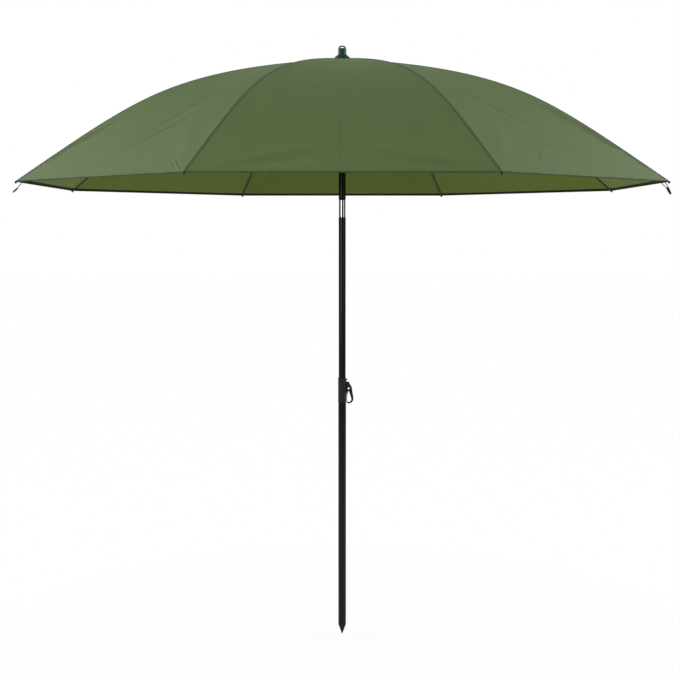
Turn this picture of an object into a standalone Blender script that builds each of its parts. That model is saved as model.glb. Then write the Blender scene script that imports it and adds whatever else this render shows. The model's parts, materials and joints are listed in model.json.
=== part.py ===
"""Fishing umbrella: eight-panel canopy on spring ribs, runner and stretchers, a tilt joint
and a telescopic pole with a ground spike.

Metres, +Z up. The origin is the point of the spike, on the pole's axis. The front is -Y,
where a flat panel of the octagonal canopy faces the viewer.
"""
import math

import bmesh
import bpy
from mathutils import Matrix, Vector

# Gaps that pieces keep to each other
SEAT_GAP = 0.0003
RUNNING_GAP = 0.0003
SLIDE_GAP = 0.0006
SEAM_GAP = 0.0004
HINGE_GAP = 0.0005
CUT_OVERRUN = 0.004
WELD_DISTANCE = 0.000002

# Pole tubes
MAST_OD = 0.025
TUBE_WALL = 0.0012
LOWER_TUBE_LENGTH = 0.895
MAST_REACH = 0.571
MAST_INSERTION = 0.290
SPIKE_LENGTH = 0.0355
SPIKE_TIP_RADIUS = 0.0015
SPIKE_PLUG_LENGTH = 0.034

# Bush on the foot of the mast
BUSH_SPIGOT_LENGTH = 0.026
BUSH_FOOT_HEIGHT = 0.012
BUSH_BORE_RADIUS = 0.004

# Clamp collar on the lower tube's mouth, with its flip lever
COLLAR_HEIGHT = 0.087
COLLAR_WALL = 0.0016
COLLAR_LIP_HEIGHT = 0.0055
COLLAR_RIM_ROUNDING = 0.0007
LEVER_THICKNESS = 0.005
LEVER_PIVOT_OUT = 0.0212
LEVER_PIVOT_DROP = 0.0190
LEVER_EYE_OUT = 0.0250
LEVER_EYE_DROP = 0.0360
LEVER_EYE_RADIUS = 0.0033
EAR_THICKNESS = 0.0025
EAR_RADIUS = 0.0048
LEVER_PIN_RADIUS = 0.0015
SCREW_DROP = 0.0072
SCREW_HEAD_RADIUS = 0.0033
SCREW_HEAD_HEIGHT = 0.0026
SCREW_SHANK_RADIUS = 0.0018
SCREW_SLOT_WIDTH = 0.0009
SCREW_SLOT_DEPTH = 0.0010

# Flip lever's outline, clockwise from its top: how far out from the pole's axis, how far
# below the collar's top
LEVER_OUTLINE = (
    (0.0186, 0.0150), (0.0212, 0.0144), (0.0243, 0.0158), (0.0272, 0.0212), (0.0315, 0.0270),
    (0.0357, 0.0325), (0.0372, 0.0400), (0.0385, 0.0520), (0.0408, 0.0670), (0.0414, 0.0760),
    (0.0392, 0.0845), (0.0335, 0.0905), (0.0265, 0.0930), (0.0198, 0.0922), (0.0170, 0.0880),
    (0.0168, 0.0760), (0.0172, 0.0560), (0.0174, 0.0380), (0.0172, 0.0260), (0.0168, 0.0190),
)
# Its finger hole, a teardrop
LEVER_HOLE = (
    (0.0240, 0.0435), (0.0272, 0.0480), (0.0302, 0.0580), (0.0334, 0.0700), (0.0338, 0.0770),
    (0.0312, 0.0828), (0.0262, 0.0858), (0.0216, 0.0854), (0.0204, 0.0800), (0.0205, 0.0690),
    (0.0212, 0.0560), (0.0222, 0.0470),
)

# Tilt joint: a bright sleeve in the mast's top, and the sprung rod that slides in it
JOINT_LENGTH = 0.061
JOINT_SPIGOT_LENGTH = 0.040
JOINT_NECKING = 0.001
JOINT_WALL = 0.0025
JOINT_FLOOR = 0.004
PIN_SINK = 0.008
PIN_RADIUS = 0.002
EAR_RISE = 0.0045
TONGUE_WIDTH = 0.006
TONGUE_RADIUS = 0.005
CLEVIS_HALF_DEPTH = 0.0055
CLEVIS_FLOOR_DROP = 0.0072
STEM_RADIUS = 0.004
STEM_HEAD_HEIGHT = 0.004
SPRING_LENGTH = 0.060
SPRING_WIRE_RADIUS = 0.0009
SPRING_TURNS = 7
KNUCKLE_SHOULDER = 0.004
KNUCKLE_SPIGOT_LENGTH = 0.026
UPPER_REACH = 0.488

# Ribs: how long one is along its bow, and its slope at the crown and at the tip
RIB_ARC = 1.2144
RIB_RADIUS = 0.00225
RIB_CROWN_SLOPE = math.radians(7.0)
RIB_TIP_SLOPE = math.radians(35.0)
RIB_BEND_PEAK_share = 0.55
RIB_COUNT = 8
RIB_POINTS = 16
RIB_END = 0.010
RIB_EYE_RADIUS = 0.0030
RIB_EYE_WIDTH = 0.0040
HINGE_WIRE_RADIUS = 0.0008
CLIP_LENGTH = 0.016
CLIP_HALF_WIDTH = 0.00275
CLIP_DEPTH = 0.0096
CLIP_TOP = 0.0015
CLIP_RIVET_RADIUS = 0.0012
TIP_RADIUS = 0.0036
TIP_LENGTH = 0.0145
TIP_ROUNDING = 0.0014

# Crown
CROWN_HINGE_RADIUS = 0.022
CROWN_RADIUS = 0.0285
CROWN_HUB_WALL = 0.0038
CROWN_HUB_DROP = 0.028
CROWN_FLANGE_DROP = 0.008
CROWN_TOP_RISE = 0.0012
CROWN_CAP = 0.012
CROWN_SOCKET_RADIUS = 0.0072

# Runner and stretchers
STRETCHER_JOINT_share = 0.43
STRETCHER_DROP = 0.0065
STRETCHER_RADIUS = 0.002
STRETCHER_EYE_RADIUS = 0.0032
STRETCHER_EYE_WIDTH = 0.0032
EYE_HOLE_RADIUS = 0.0015
RUNNER_DROP = 0.320
RUNNER_HINGE_RADIUS = 0.036
RUNNER_RADIUS = 0.041
RUNNER_WALL = 0.0034
RUNNER_SLEEVE_DROP = 0.050
RUNNER_SLEEVE_RISE = 0.012
RUNNER_FLANGE_DROP = 0.006
RUNNER_FLANGE_RISE = 0.004

# Catch that props up the open runner
CATCH_WIDTH = 0.0044
CATCH_HEIGHT = 0.0170
CATCH_PROUD = 0.003
CATCH_RAMP = 0.009
CATCH_FLANGE_WIDTH = 0.007
CATCH_FLANGE_HEIGHT = 0.022
CATCH_FLANGE_THICKNESS = 0.0015
CATCH_FLANGE_SINK = 0.0011

# Canopy
FABRIC_THICKNESS = 0.001
FABRIC_START_RADIUS = 0.0247

# Finial over the crown, with its hanging loop
FINIAL_RADIUS = 0.0145
FINIAL_FLARE_RADIUS = 0.0268
FINIAL_FLARE_HEIGHT = 0.0088
FINIAL_RIM = 0.0016
FINIAL_HEIGHT = 0.0355
FINIAL_SHOULDER = 0.0022
FINIAL_LOOP_RISE = 0.0100
FINIAL_LOOP_RADIUS = 0.0016
FINIAL_LOOP_SQUARENESS_share = 0.6
FINIAL_SPIGOT_LENGTH = 0.008

# Guy cords at the two outermost corners, as routes in the plane of their rib: how far out
# from the rib's end and how far above it
CORD_RADIUS = 0.00125
CORD_POINTS = 18
LEFT_CORD_ROUTE = (
    (-0.0181, 0.0087), (-0.0180, 0.0062), (-0.0162, 0.0030), (-0.0127, -0.0005),
    (-0.0080, -0.0045), (-0.0030, -0.0090), (0.0020, -0.0138), (0.0058, -0.0176),
    (0.0092, -0.0212),
)
RIGHT_CORD_ROUTE = (
    (-0.0181, 0.0087), (-0.0180, 0.0060), (-0.0150, 0.0022), (-0.0105, -0.0025),
    (-0.0060, -0.0068), (-0.0012, -0.0110), (0.0030, -0.0152), (0.0056, -0.0162),
    (0.0064, -0.0142), (0.0046, -0.0110), (0.0010, -0.0082), (-0.0022, -0.0058),
    (-0.0036, -0.0034), (-0.0038, -0.0012),
)
KNOT_NECK_share = 0.58
KNOT_SHOULDER_share = 0.22
KNOT_RADIUS = 0.0031
KNOT_LENGTH = 0.016
LOOP_KNOT_RADIUS = 0.0044
LOOP_KNOT_LENGTH = 0.022
LOOP_KNOT_TOP = (0.0036, -0.0140)
LOOP_KNOT_SLOPE = math.radians(62.0)
KNOT_SLOPE = math.radians(46.0)

# Numbers of facets and points, and the least angle of an edge that shows
TUBE_SIDES = 32
FINE_SIDES = 16
SMALL_SIDES = 12
COIL_POINTS = 8
WIRE_SIDES = 6
LOOP_STEPS = 16
LEVER_EDGE_POINTS = 36
LEVER_HOLE_POINTS = 22
RIB_READINGS = 100
RIB_STEPS_PER_POINT = 40
SHARP_ANGLE = math.radians(35.0)

# Sizes that follow from those above
MAST_RADIUS = MAST_OD / 2
MAST_BORE_RADIUS = MAST_RADIUS - TUBE_WALL
SPIGOT_RADIUS = MAST_BORE_RADIUS - SEAT_GAP
LOWER_BORE_RADIUS = MAST_RADIUS + RUNNING_GAP
LOWER_RADIUS = LOWER_BORE_RADIUS + TUBE_WALL
LOWER_TOP = SPIKE_LENGTH + LOWER_TUBE_LENGTH
COLLAR_TOP = LOWER_TOP + SEAT_GAP + COLLAR_LIP_HEIGHT
COLLAR_RADIUS = LOWER_RADIUS + SEAT_GAP + COLLAR_WALL
MAST_TOP = COLLAR_TOP + MAST_REACH
MAST_FOOT = COLLAR_TOP - MAST_INSERTION
JOINT_TOP = MAST_TOP + JOINT_LENGTH
JOINT_RADIUS = MAST_RADIUS - JOINT_NECKING
JOINT_BORE_RADIUS = JOINT_RADIUS - JOINT_WALL
TILT_HEIGHT = JOINT_TOP - PIN_SINK
CROWN_HEIGHT = JOINT_TOP + UPPER_REACH
CROWN_BORE_RADIUS = MAST_RADIUS + SEAT_GAP
RUNNER_HEIGHT = CROWN_HEIGHT - RUNNER_DROP
RUNNER_BORE_RADIUS = MAST_RADIUS + SLIDE_GAP
RIB_SLOT = 2 * (RIB_RADIUS + HINGE_GAP)
STRETCHER_SIDE = CLIP_HALF_WIDTH + HINGE_GAP + STRETCHER_RADIUS
STRETCHER_SLOT = 2 * (STRETCHER_RADIUS + HINGE_GAP)
FABRIC_LIFT = RIB_RADIUS + SEAT_GAP + FABRIC_THICKNESS / 2
CATCH_TOP = RUNNER_HEIGHT - RUNNER_SLEEVE_DROP - HINGE_GAP
HALF_PANEL = math.pi / RIB_COUNT

# The scene starts empty, with one collection for the umbrella's pieces and one for cutters
for old in list(bpy.data.objects):
    bpy.data.objects.remove(old, do_unlink=True)
PIECES = bpy.data.collections.new("fishing_umbrella")
CUTTERS = bpy.data.collections.new("cutters")
bpy.context.scene.collection.children.link(PIECES)
bpy.context.scene.collection.children.link(CUTTERS)


def finish(name, colour, roughness, metallic=0.0):
    """A Principled material."""
    material = bpy.data.materials.new(name)
    material.use_nodes = True
    shader = material.node_tree.nodes["Principled BSDF"]
    shader.inputs["Base Color"].default_value = (*colour, 1.0)
    shader.inputs["Roughness"].default_value = roughness
    shader.inputs["Metallic"].default_value = metallic
    return material


BLACK_STEEL = finish("black_coated_steel", (0.012, 0.012, 0.010), 0.35)
BRIGHT_STEEL = finish("bright_plated_steel", (0.62, 0.62, 0.58), 0.15, 1.0)
BLACK_PLASTIC = finish("black_moulded_plastic", (0.014, 0.014, 0.013), 0.5)
GREEN_PLASTIC = finish("green_moulded_plastic", (0.035, 0.068, 0.045), 0.45)
BLACK_FIBRE = finish("black_glass_fibre", (0.010, 0.010, 0.010), 0.4)
CANOPY_CLOTH = finish("olive_coated_cloth", (0.090, 0.125, 0.048), 0.8)
CORD_YARN = finish("black_cord", (0.012, 0.012, 0.012), 0.9)


def link(thing, collection=PIECES):
    collection.objects.link(thing)
    return thing


def from_bmesh(name, bm):
    """A new object in the pieces' collection, from a bmesh."""
    mesh = bpy.data.meshes.new(name)
    bm.to_mesh(mesh)
    bm.free()
    return link(bpy.data.objects.new(name, mesh))


def cylinder(name, radius, length, sides=FINE_SIDES, axis="Z", middle=(0.0, 0.0, 0.0)):
    """A closed cylinder about its middle."""
    bm = bmesh.new()
    bmesh.ops.create_cone(
        bm, cap_ends=True, segments=sides, radius1=radius, radius2=radius, depth=length
    )
    turn = {"X": Matrix.Rotation(math.pi / 2, 4, "Y"), "Y": Matrix.Rotation(math.pi / 2, 4, "X")}
    bmesh.ops.transform(bm, matrix=turn.get(axis, Matrix()), verts=bm.verts)
    bmesh.ops.translate(bm, vec=middle, verts=bm.verts)
    return from_bmesh(name, bm)


def box(name, low, high):
    """A box from its lowest corner to its highest."""
    low, high = Vector(low), Vector(high)
    bm = bmesh.new()
    bmesh.ops.create_cube(bm, size=1.0)
    bmesh.ops.scale(bm, vec=high - low, verts=bm.verts)
    bmesh.ops.translate(bm, vec=(low + high) / 2, verts=bm.verts)
    return from_bmesh(name, bm)


def turned(name, profile, sides=TUBE_SIDES, closed=False):
    """A profile of (radius, height), top to bottom down its outer side, turned about Z."""
    mesh = bpy.data.meshes.new(name)
    points = [(radius, 0.0, height) for radius, height in profile]
    edges = [(i, i + 1) for i in range(len(points) - 1)]
    if closed:
        edges.append((len(points) - 1, 0))
    mesh.from_pydata(points, edges, [])
    piece = link(bpy.data.objects.new(name, mesh))
    screw = piece.modifiers.new("turn", "SCREW")
    screw.axis = "Z"
    screw.steps = sides
    screw.render_steps = sides
    screw.use_merge_vertices = True
    screw.merge_threshold = WELD_DISTANCE
    screw.use_smooth_shade = True
    return piece


def sleeve(name, outer, inner, top, bottom, sides=TUBE_SIDES):
    """A plain length of tube."""
    return turned(
        name, [(outer, top), (outer, bottom), (inner, bottom), (inner, top)], sides, closed=True
    )


def smooth_path(points, count, closed=False):
    """Points spread along a smooth curve through the given ones."""
    points = [Vector(p) for p in points]
    last = len(points) if closed else len(points) - 1
    path = []
    for step in range(count):
        along = step * last / (count if closed else count - 1)
        i = min(int(along), last - 1)
        t = along - i
        if closed:
            a, b, c, d = (points[(i + k) % len(points)] for k in (-1, 0, 1, 2))
        else:
            b, c = points[i], points[i + 1]
            a = points[i - 1] if i > 0 else 2 * b - c
            d = points[i + 2] if i + 2 < len(points) else 2 * c - b
        bend = (2 * a - 5 * b + 4 * c - d) * t**2 + (3 * b - a - 3 * c + d) * t**3
        path.append(b + ((c - a) * t + bend) / 2)
    return path


def meshed(piece):
    """The piece as the viewport shows it, made one plain mesh object with its edges welded."""
    bpy.context.view_layer.update()
    evaluated = piece.evaluated_get(bpy.context.evaluated_depsgraph_get())
    mesh = bpy.data.meshes.new_from_object(evaluated)
    bm = bmesh.new()
    bm.from_mesh(mesh)
    bmesh.ops.remove_doubles(bm, verts=bm.verts, dist=WELD_DISTANCE)
    bm.to_mesh(mesh)
    bm.free()
    name = piece.name
    solid = bpy.data.objects.new(name, mesh)
    solid.matrix_world = piece.matrix_world.copy()
    bpy.data.objects.remove(piece, do_unlink=True)
    solid.name = name
    return link(solid)


def wire(name, points, radius, detail=1):
    """A round wire or tube along points, with closed ends."""
    curve = bpy.data.curves.new(name, "CURVE")
    curve.dimensions = "3D"
    curve.bevel_depth = radius
    curve.bevel_resolution = detail
    curve.use_fill_caps = True
    spline = curve.splines.new("POLY")
    spline.points.add(len(points) - 1)
    for knot, point in zip(spline.points, points):
        knot.co = (*point, 1.0)
    return meshed(link(bpy.data.objects.new(name, curve)))


def combine(piece, other, operation):
    """Joins or cuts a piece with another object, which then serves as a hidden cutter."""
    PIECES.objects.unlink(other)
    link(other, CUTTERS)
    other.hide_render = True
    other.display_type = "WIRE"
    modifier = piece.modifiers.new(operation.lower(), "BOOLEAN")
    modifier.operation = operation
    modifier.solver = "EXACT"
    modifier.object = other


def cut(piece, *others):
    for other in others:
        combine(piece, other, "DIFFERENCE")
    return piece


def fuse(piece, *others):
    for other in others:
        combine(piece, other, "UNION")
    return piece


def settle(piece, material, parent=None):
    """Gives a finished piece its material and shading, and hangs it on its joint's empty."""
    piece = meshed(piece)
    piece.data.materials.clear()
    piece.data.materials.append(material)
    piece.data.shade_smooth()
    piece.data.set_sharp_from_angle(angle=SHARP_ANGLE)
    if parent is not None:
        piece.parent = parent
        piece.matrix_parent_inverse = parent.matrix_world.inverted()
    return piece


def joint_empty(name, place, turn=0.0, parent=None):
    """An empty on a joint's axis, which carries the pieces that move there."""
    empty = link(bpy.data.objects.new(name, None))
    empty.location = place
    empty.rotation_euler = (0.0, 0.0, turn)
    bpy.context.view_layer.update()
    if parent is not None:
        empty.parent = parent
        empty.matrix_parent_inverse = parent.matrix_world.inverted()
        bpy.context.view_layer.update()
    return empty


def copies(model, names, empties, material):
    """Objects that share the model's mesh, one on each joint's empty, for a repeated piece."""
    model = meshed(model)
    mesh = model.data
    bpy.data.objects.remove(model, do_unlink=True)
    mesh.materials.clear()
    mesh.materials.append(material)
    mesh.shade_smooth()
    mesh.set_sharp_from_angle(angle=SHARP_ANGLE)
    for name, empty in zip(names, empties):
        piece = link(bpy.data.objects.new(name, mesh))
        piece.parent = empty


def rib_course(count):
    """Places (out, up) from the crown hinge along a rib's bow, and its slope at each.

    The bend grows from the hinge to its peak near the stretcher and fades out to the tip.
    """
    fine = RIB_STEPS_PER_POINT * count
    peak = RIB_BEND_PEAK_share
    bends = []
    for i in range(fine + 1):
        s = i / fine
        bends.append(s / peak if s < peak else ((1 - s) / (1 - peak)) ** 2)
    turns = [0.0]
    for before, after in zip(bends, bends[1:]):
        turns.append(turns[-1] + (before + after) / 2)
    slopes = [
        RIB_CROWN_SLOPE + (RIB_TIP_SLOPE - RIB_CROWN_SLOPE) * turn / turns[-1] for turn in turns
    ]
    step = RIB_ARC / fine
    out, up, course = 0.0, 0.0, [(0.0, 0.0, slopes[0])]
    for i in range(1, fine + 1):
        middle = (slopes[i - 1] + slopes[i]) / 2
        out += step * math.cos(middle)
        up -= step * math.sin(middle)
        if i % RIB_STEPS_PER_POINT == 0:
            course.append((out, up, slopes[i]))
    return course


def rib_place(share, lift=0.0):
    """A place on the rib's bow, as (out, up) from the crown hinge, lifted square to it."""
    course = rib_course(RIB_READINGS)
    along = share * RIB_READINGS
    i = min(int(along), RIB_READINGS - 1)
    t = along - i
    out, up, slope = (a + (b - a) * t for a, b in zip(course[i], course[i + 1]))
    return out + lift * math.sin(slope), up + lift * math.cos(slope), slope


# Lower tube and its ground spike
ground = joint_empty("ground", (0.0, 0.0, 0.0))
settle(sleeve("lower_tube", LOWER_RADIUS, LOWER_BORE_RADIUS, LOWER_TOP, SPIKE_LENGTH),
       BLACK_STEEL, ground)

spike_plug = LOWER_BORE_RADIUS - SEAT_GAP
spike_shoulder = SPIKE_LENGTH - SEAT_GAP
settle(
    turned("ground_spike", [
        (0.0, SPIKE_LENGTH + SPIKE_PLUG_LENGTH),
        (spike_plug, SPIKE_LENGTH + SPIKE_PLUG_LENGTH),
        (spike_plug, spike_shoulder),
        (LOWER_RADIUS, spike_shoulder),
        (SPIKE_TIP_RADIUS, 0.0),
        (0.0, 0.0),
    ]),
    BLACK_STEEL, ground,
)

# Clamp collar: a cap on the tube's mouth, with two ears for the flip lever
collar_bottom = COLLAR_TOP - COLLAR_HEIGHT
collar_seat = LOWER_RADIUS + SEAT_GAP
collar_mouth = MAST_RADIUS + RUNNING_GAP
collar = turned("clamp_collar", [
    (COLLAR_RADIUS - COLLAR_RIM_ROUNDING, COLLAR_TOP),
    (COLLAR_RADIUS, COLLAR_TOP - COLLAR_RIM_ROUNDING),
    (COLLAR_RADIUS, collar_bottom + COLLAR_RIM_ROUNDING),
    (COLLAR_RADIUS - COLLAR_RIM_ROUNDING, collar_bottom),
    (collar_seat, collar_bottom),
    (collar_seat, COLLAR_TOP - COLLAR_LIP_HEIGHT),
    (collar_mouth, COLLAR_TOP - COLLAR_LIP_HEIGHT),
    (collar_mouth, COLLAR_TOP),
], closed=True)
pivot_height = COLLAR_TOP - LEVER_PIVOT_DROP
ear_inner = LEVER_THICKNESS / 2 + SEAT_GAP
ear_outer = ear_inner + EAR_THICKNESS
ear_root = collar_seat + COLLAR_WALL / 2
for side in (-1, 1):
    edges = sorted((side * ear_inner, side * ear_outer))
    fuse(
        collar,
        box("ear_web", (ear_root, edges[0], pivot_height - EAR_RADIUS),
            (LEVER_PIVOT_OUT, edges[1], pivot_height + EAR_RADIUS)),
        cylinder("ear_round", EAR_RADIUS, EAR_THICKNESS, axis="Y",
                 middle=(LEVER_PIVOT_OUT, sum(edges) / 2, pivot_height)),
    )
screw_height = COLLAR_TOP - SCREW_DROP
cut(
    collar,
    cylinder("ear_bore", LEVER_PIN_RADIUS + SEAT_GAP, 2 * ear_outer + CUT_OVERRUN, axis="Y",
             middle=(LEVER_PIVOT_OUT, 0.0, pivot_height)),
    cylinder("screw_bore", SCREW_SHANK_RADIUS + SEAT_GAP, 2 * CUT_OVERRUN, axis="X",
             middle=(COLLAR_RADIUS, 0.0, screw_height)),
)
settle(collar, BLACK_PLASTIC, ground)

# The screw that fixes the collar to the tube
screw_seat = COLLAR_RADIUS + SEAT_GAP
screw_end = screw_seat + SCREW_HEAD_HEIGHT
shank_end = LOWER_RADIUS + 2 * SEAT_GAP
screw_head = cylinder("collar_screw", SCREW_HEAD_RADIUS, SCREW_HEAD_HEIGHT, axis="X",
                      middle=((screw_seat + screw_end) / 2, 0.0, screw_height))
shank_length = screw_end - SCREW_SLOT_DEPTH - shank_end
fuse(screw_head, cylinder("shank", SCREW_SHANK_RADIUS, shank_length, axis="X",
                          middle=(shank_end + shank_length / 2, 0.0, screw_height)))
cut(screw_head, box(
    "driver_slot",
    (screw_end - SCREW_SLOT_DEPTH, -SCREW_HEAD_RADIUS - CUT_OVERRUN,
     screw_height - SCREW_SLOT_WIDTH / 2),
    (screw_end + CUT_OVERRUN, SCREW_HEAD_RADIUS + CUT_OVERRUN,
     screw_height + SCREW_SLOT_WIDTH / 2),
))
settle(screw_head, BRIGHT_STEEL, ground)

settle(
    cylinder("clamp_pin", LEVER_PIN_RADIUS, 2 * ear_outer, axis="Y",
             middle=(LEVER_PIVOT_OUT, 0.0, pivot_height)),
    BRIGHT_STEEL, ground,
)


def flat_outline(name, thickness, outlines):
    """A flat piece in the XZ plane: the first outline is its edge, the others its holes."""
    curve = bpy.data.curves.new(name, "CURVE")
    curve.dimensions = "2D"
    curve.fill_mode = "BOTH"
    curve.extrude = thickness / 2
    for outline in outlines:
        spline = curve.splines.new("POLY")
        spline.points.add(len(outline) - 1)
        for knot, (out, up) in zip(spline.points, outline):
            knot.co = (out, up, 0.0, 1.0)
        spline.use_cyclic_u = True
    plate = link(bpy.data.objects.new(name, curve))
    plate.rotation_euler = (math.pi / 2, 0.0, 0.0)
    return meshed(plate)


def circle(out, up, radius, count=FINE_SIDES):
    turns = [2 * math.pi * i / count for i in range(count)]
    return [(out + radius * math.cos(a), up + radius * math.sin(a)) for a in turns]


lever_edge = [(out, COLLAR_TOP - drop) for out, drop in LEVER_OUTLINE]
lever_hole = [(out, COLLAR_TOP - drop) for out, drop in LEVER_HOLE]
clamp_axis = joint_empty("clamp_axis", (LEVER_PIVOT_OUT, 0.0, pivot_height), parent=ground)
settle(
    flat_outline("clamp_lever", LEVER_THICKNESS, [
        [tuple(p) for p in smooth_path(lever_edge, LEVER_EDGE_POINTS, closed=True)],
        [tuple(p) for p in smooth_path(lever_hole, LEVER_HOLE_POINTS, closed=True)],
        circle(LEVER_EYE_OUT, COLLAR_TOP - LEVER_EYE_DROP, LEVER_EYE_RADIUS),
        circle(LEVER_PIVOT_OUT, pivot_height, LEVER_PIN_RADIUS + SEAT_GAP),
    ]),
    BLACK_PLASTIC, clamp_axis,
)

# Mast: the bush slides in the lower tube, and the mast turns on the bush
telescope = joint_empty("telescope", (0.0, 0.0, MAST_FOOT), parent=ground)
foot_top = MAST_FOOT - SEAT_GAP
settle(
    turned("mast_bush", [
        (SPIGOT_RADIUS, MAST_FOOT + BUSH_SPIGOT_LENGTH),
        (SPIGOT_RADIUS, foot_top),
        (MAST_RADIUS, foot_top),
        (MAST_RADIUS, foot_top - BUSH_FOOT_HEIGHT),
        (BUSH_BORE_RADIUS, foot_top - BUSH_FOOT_HEIGHT),
        (BUSH_BORE_RADIUS, MAST_FOOT + BUSH_SPIGOT_LENGTH),
    ], closed=True),
    BLACK_PLASTIC, telescope,
)
swivel = joint_empty("swivel", (0.0, 0.0, MAST_FOOT), parent=telescope)
settle(sleeve("mast_tube", MAST_RADIUS, MAST_BORE_RADIUS, MAST_TOP, MAST_FOOT),
       BLACK_STEEL, swivel)

# Tilt joint: the bright sleeve, the rod that lifts in it, and the knuckle that tilts
spigot_bottom = MAST_TOP - JOINT_SPIGOT_LENGTH
sleeve_step = MAST_TOP + SEAT_GAP
settle(
    turned("tilt_sleeve", [
        (JOINT_RADIUS, JOINT_TOP),
        (JOINT_RADIUS, sleeve_step),
        (SPIGOT_RADIUS, sleeve_step),
        (SPIGOT_RADIUS, spigot_bottom),
        (STEM_RADIUS + HINGE_GAP, spigot_bottom),
        (STEM_RADIUS + HINGE_GAP, spigot_bottom + JOINT_FLOOR),
        (JOINT_BORE_RADIUS, spigot_bottom + JOINT_FLOOR),
        (JOINT_BORE_RADIUS, JOINT_TOP),
    ], closed=True),
    BRIGHT_STEEL, swivel,
)

rod_radius = JOINT_BORE_RADIUS - HINGE_GAP
rod_bottom = spigot_bottom + JOINT_FLOOR + SEAT_GAP
head_top = spigot_bottom - SPRING_LENGTH
rod_top = TILT_HEIGHT + EAR_RISE
clevis_floor = TILT_HEIGHT - CLEVIS_FLOOR_DROP
lift = joint_empty("tilt_lift", (0.0, 0.0, TILT_HEIGHT), parent=swivel)
rod = turned("tilt_rod", [
    (0.0, rod_top),
    (rod_radius, rod_top),
    (rod_radius, rod_bottom),
    (STEM_RADIUS, rod_bottom),
    (STEM_RADIUS, head_top),
    (rod_radius, head_top),
    (rod_radius, head_top - STEM_HEAD_HEIGHT),
    (0.0, head_top - STEM_HEAD_HEIGHT),
], FINE_SIDES)
clevis_half = TONGUE_WIDTH / 2 + SEAT_GAP
beyond = rod_radius + CUT_OVERRUN
cut(
    rod,
    box("clevis_slot", (-clevis_half, -beyond, clevis_floor),
        (clevis_half, beyond, rod_top + CUT_OVERRUN)),
    box("clevis_front", (-beyond, -beyond, clevis_floor),
        (beyond, -CLEVIS_HALF_DEPTH, rod_top + CUT_OVERRUN)),
    box("clevis_back", (-beyond, CLEVIS_HALF_DEPTH, clevis_floor),
        (beyond, beyond, rod_top + CUT_OVERRUN)),
    cylinder("clevis_bore", PIN_RADIUS + SEAT_GAP, 2 * beyond, axis="X",
             middle=(0.0, 0.0, TILT_HEIGHT)),
)
settle(rod, BRIGHT_STEEL, lift)
settle(
    cylinder("tilt_pin", PIN_RADIUS, 2 * (rod_radius - SEAT_GAP), axis="X",
             middle=(0.0, 0.0, TILT_HEIGHT)),
    BRIGHT_STEEL, lift,
)

coil_radius = (STEM_RADIUS + rod_radius) / 2
coil_rise = SPRING_LENGTH - 2 * (SPRING_WIRE_RADIUS + SEAT_GAP)
coil = []
for i in range(SPRING_TURNS * COIL_POINTS + 1):
    turn = i / COIL_POINTS
    coil.append((
        coil_radius * math.cos(2 * math.pi * turn),
        coil_radius * math.sin(2 * math.pi * turn),
        head_top + SPRING_WIRE_RADIUS + SEAT_GAP + coil_rise * turn / SPRING_TURNS,
    ))
settle(wire("tilt_spring", coil, SPRING_WIRE_RADIUS), BRIGHT_STEEL, swivel)

tilt = joint_empty("tilt_axis", (0.0, 0.0, TILT_HEIGHT), parent=lift)
shoulder_bottom = JOINT_TOP + HINGE_GAP
shoulder_top = shoulder_bottom + KNUCKLE_SHOULDER
knuckle = turned("tilt_knuckle", [
    (0.0, shoulder_top + KNUCKLE_SPIGOT_LENGTH),
    (SPIGOT_RADIUS, shoulder_top + KNUCKLE_SPIGOT_LENGTH),
    (SPIGOT_RADIUS, shoulder_top),
    (MAST_RADIUS, shoulder_top),
    (MAST_RADIUS, shoulder_bottom),
    (0.0, shoulder_bottom),
])
fuse(
    knuckle,
    box("tongue", (-TONGUE_WIDTH / 2, -TONGUE_RADIUS, TILT_HEIGHT),
        (TONGUE_WIDTH / 2, TONGUE_RADIUS, shoulder_bottom + KNUCKLE_SHOULDER / 2)),
    cylinder("tongue_end", TONGUE_RADIUS, TONGUE_WIDTH, axis="X",
             middle=(0.0, 0.0, TILT_HEIGHT)),
)
# The last cut clears the runner's catch where a short upper tube brings it down to the spigot
catch_middle = CATCH_TOP - CATCH_HEIGHT / 2
catch_inner_face = -MAST_BORE_RADIUS + CATCH_FLANGE_SINK + CATCH_FLANGE_THICKNESS
cut(
    knuckle,
    cylinder("tongue_bore", PIN_RADIUS + SEAT_GAP, 2 * TONGUE_WIDTH, axis="X",
             middle=(0.0, 0.0, TILT_HEIGHT)),
    box("catch_pocket",
        (-CATCH_FLANGE_WIDTH / 2 - SEAT_GAP, -MAST_RADIUS - CUT_OVERRUN,
         catch_middle - CATCH_FLANGE_HEIGHT / 2 - SEAT_GAP),
        (CATCH_FLANGE_WIDTH / 2 + SEAT_GAP, catch_inner_face + SEAT_GAP,
         catch_middle + CATCH_FLANGE_HEIGHT / 2 + SEAT_GAP)),
)
settle(knuckle, BLACK_STEEL, tilt)

# Upper tube, with the window that the runner's catch stands in
crown_socket = CROWN_HEIGHT - CROWN_CAP
upper = sleeve("upper_tube", MAST_RADIUS, MAST_BORE_RADIUS, crown_socket - SEAT_GAP,
               shoulder_top + SEAT_GAP)
cut(upper, box(
    "catch_window",
    (-CATCH_WIDTH / 2 - SEAT_GAP, -MAST_RADIUS - CUT_OVERRUN,
     CATCH_TOP - CATCH_HEIGHT - SEAT_GAP),
    (CATCH_WIDTH / 2 + SEAT_GAP, -MAST_RADIUS + CUT_OVERRUN, CATCH_TOP + SEAT_GAP),
))
settle(upper, BLACK_STEEL, tilt)

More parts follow.
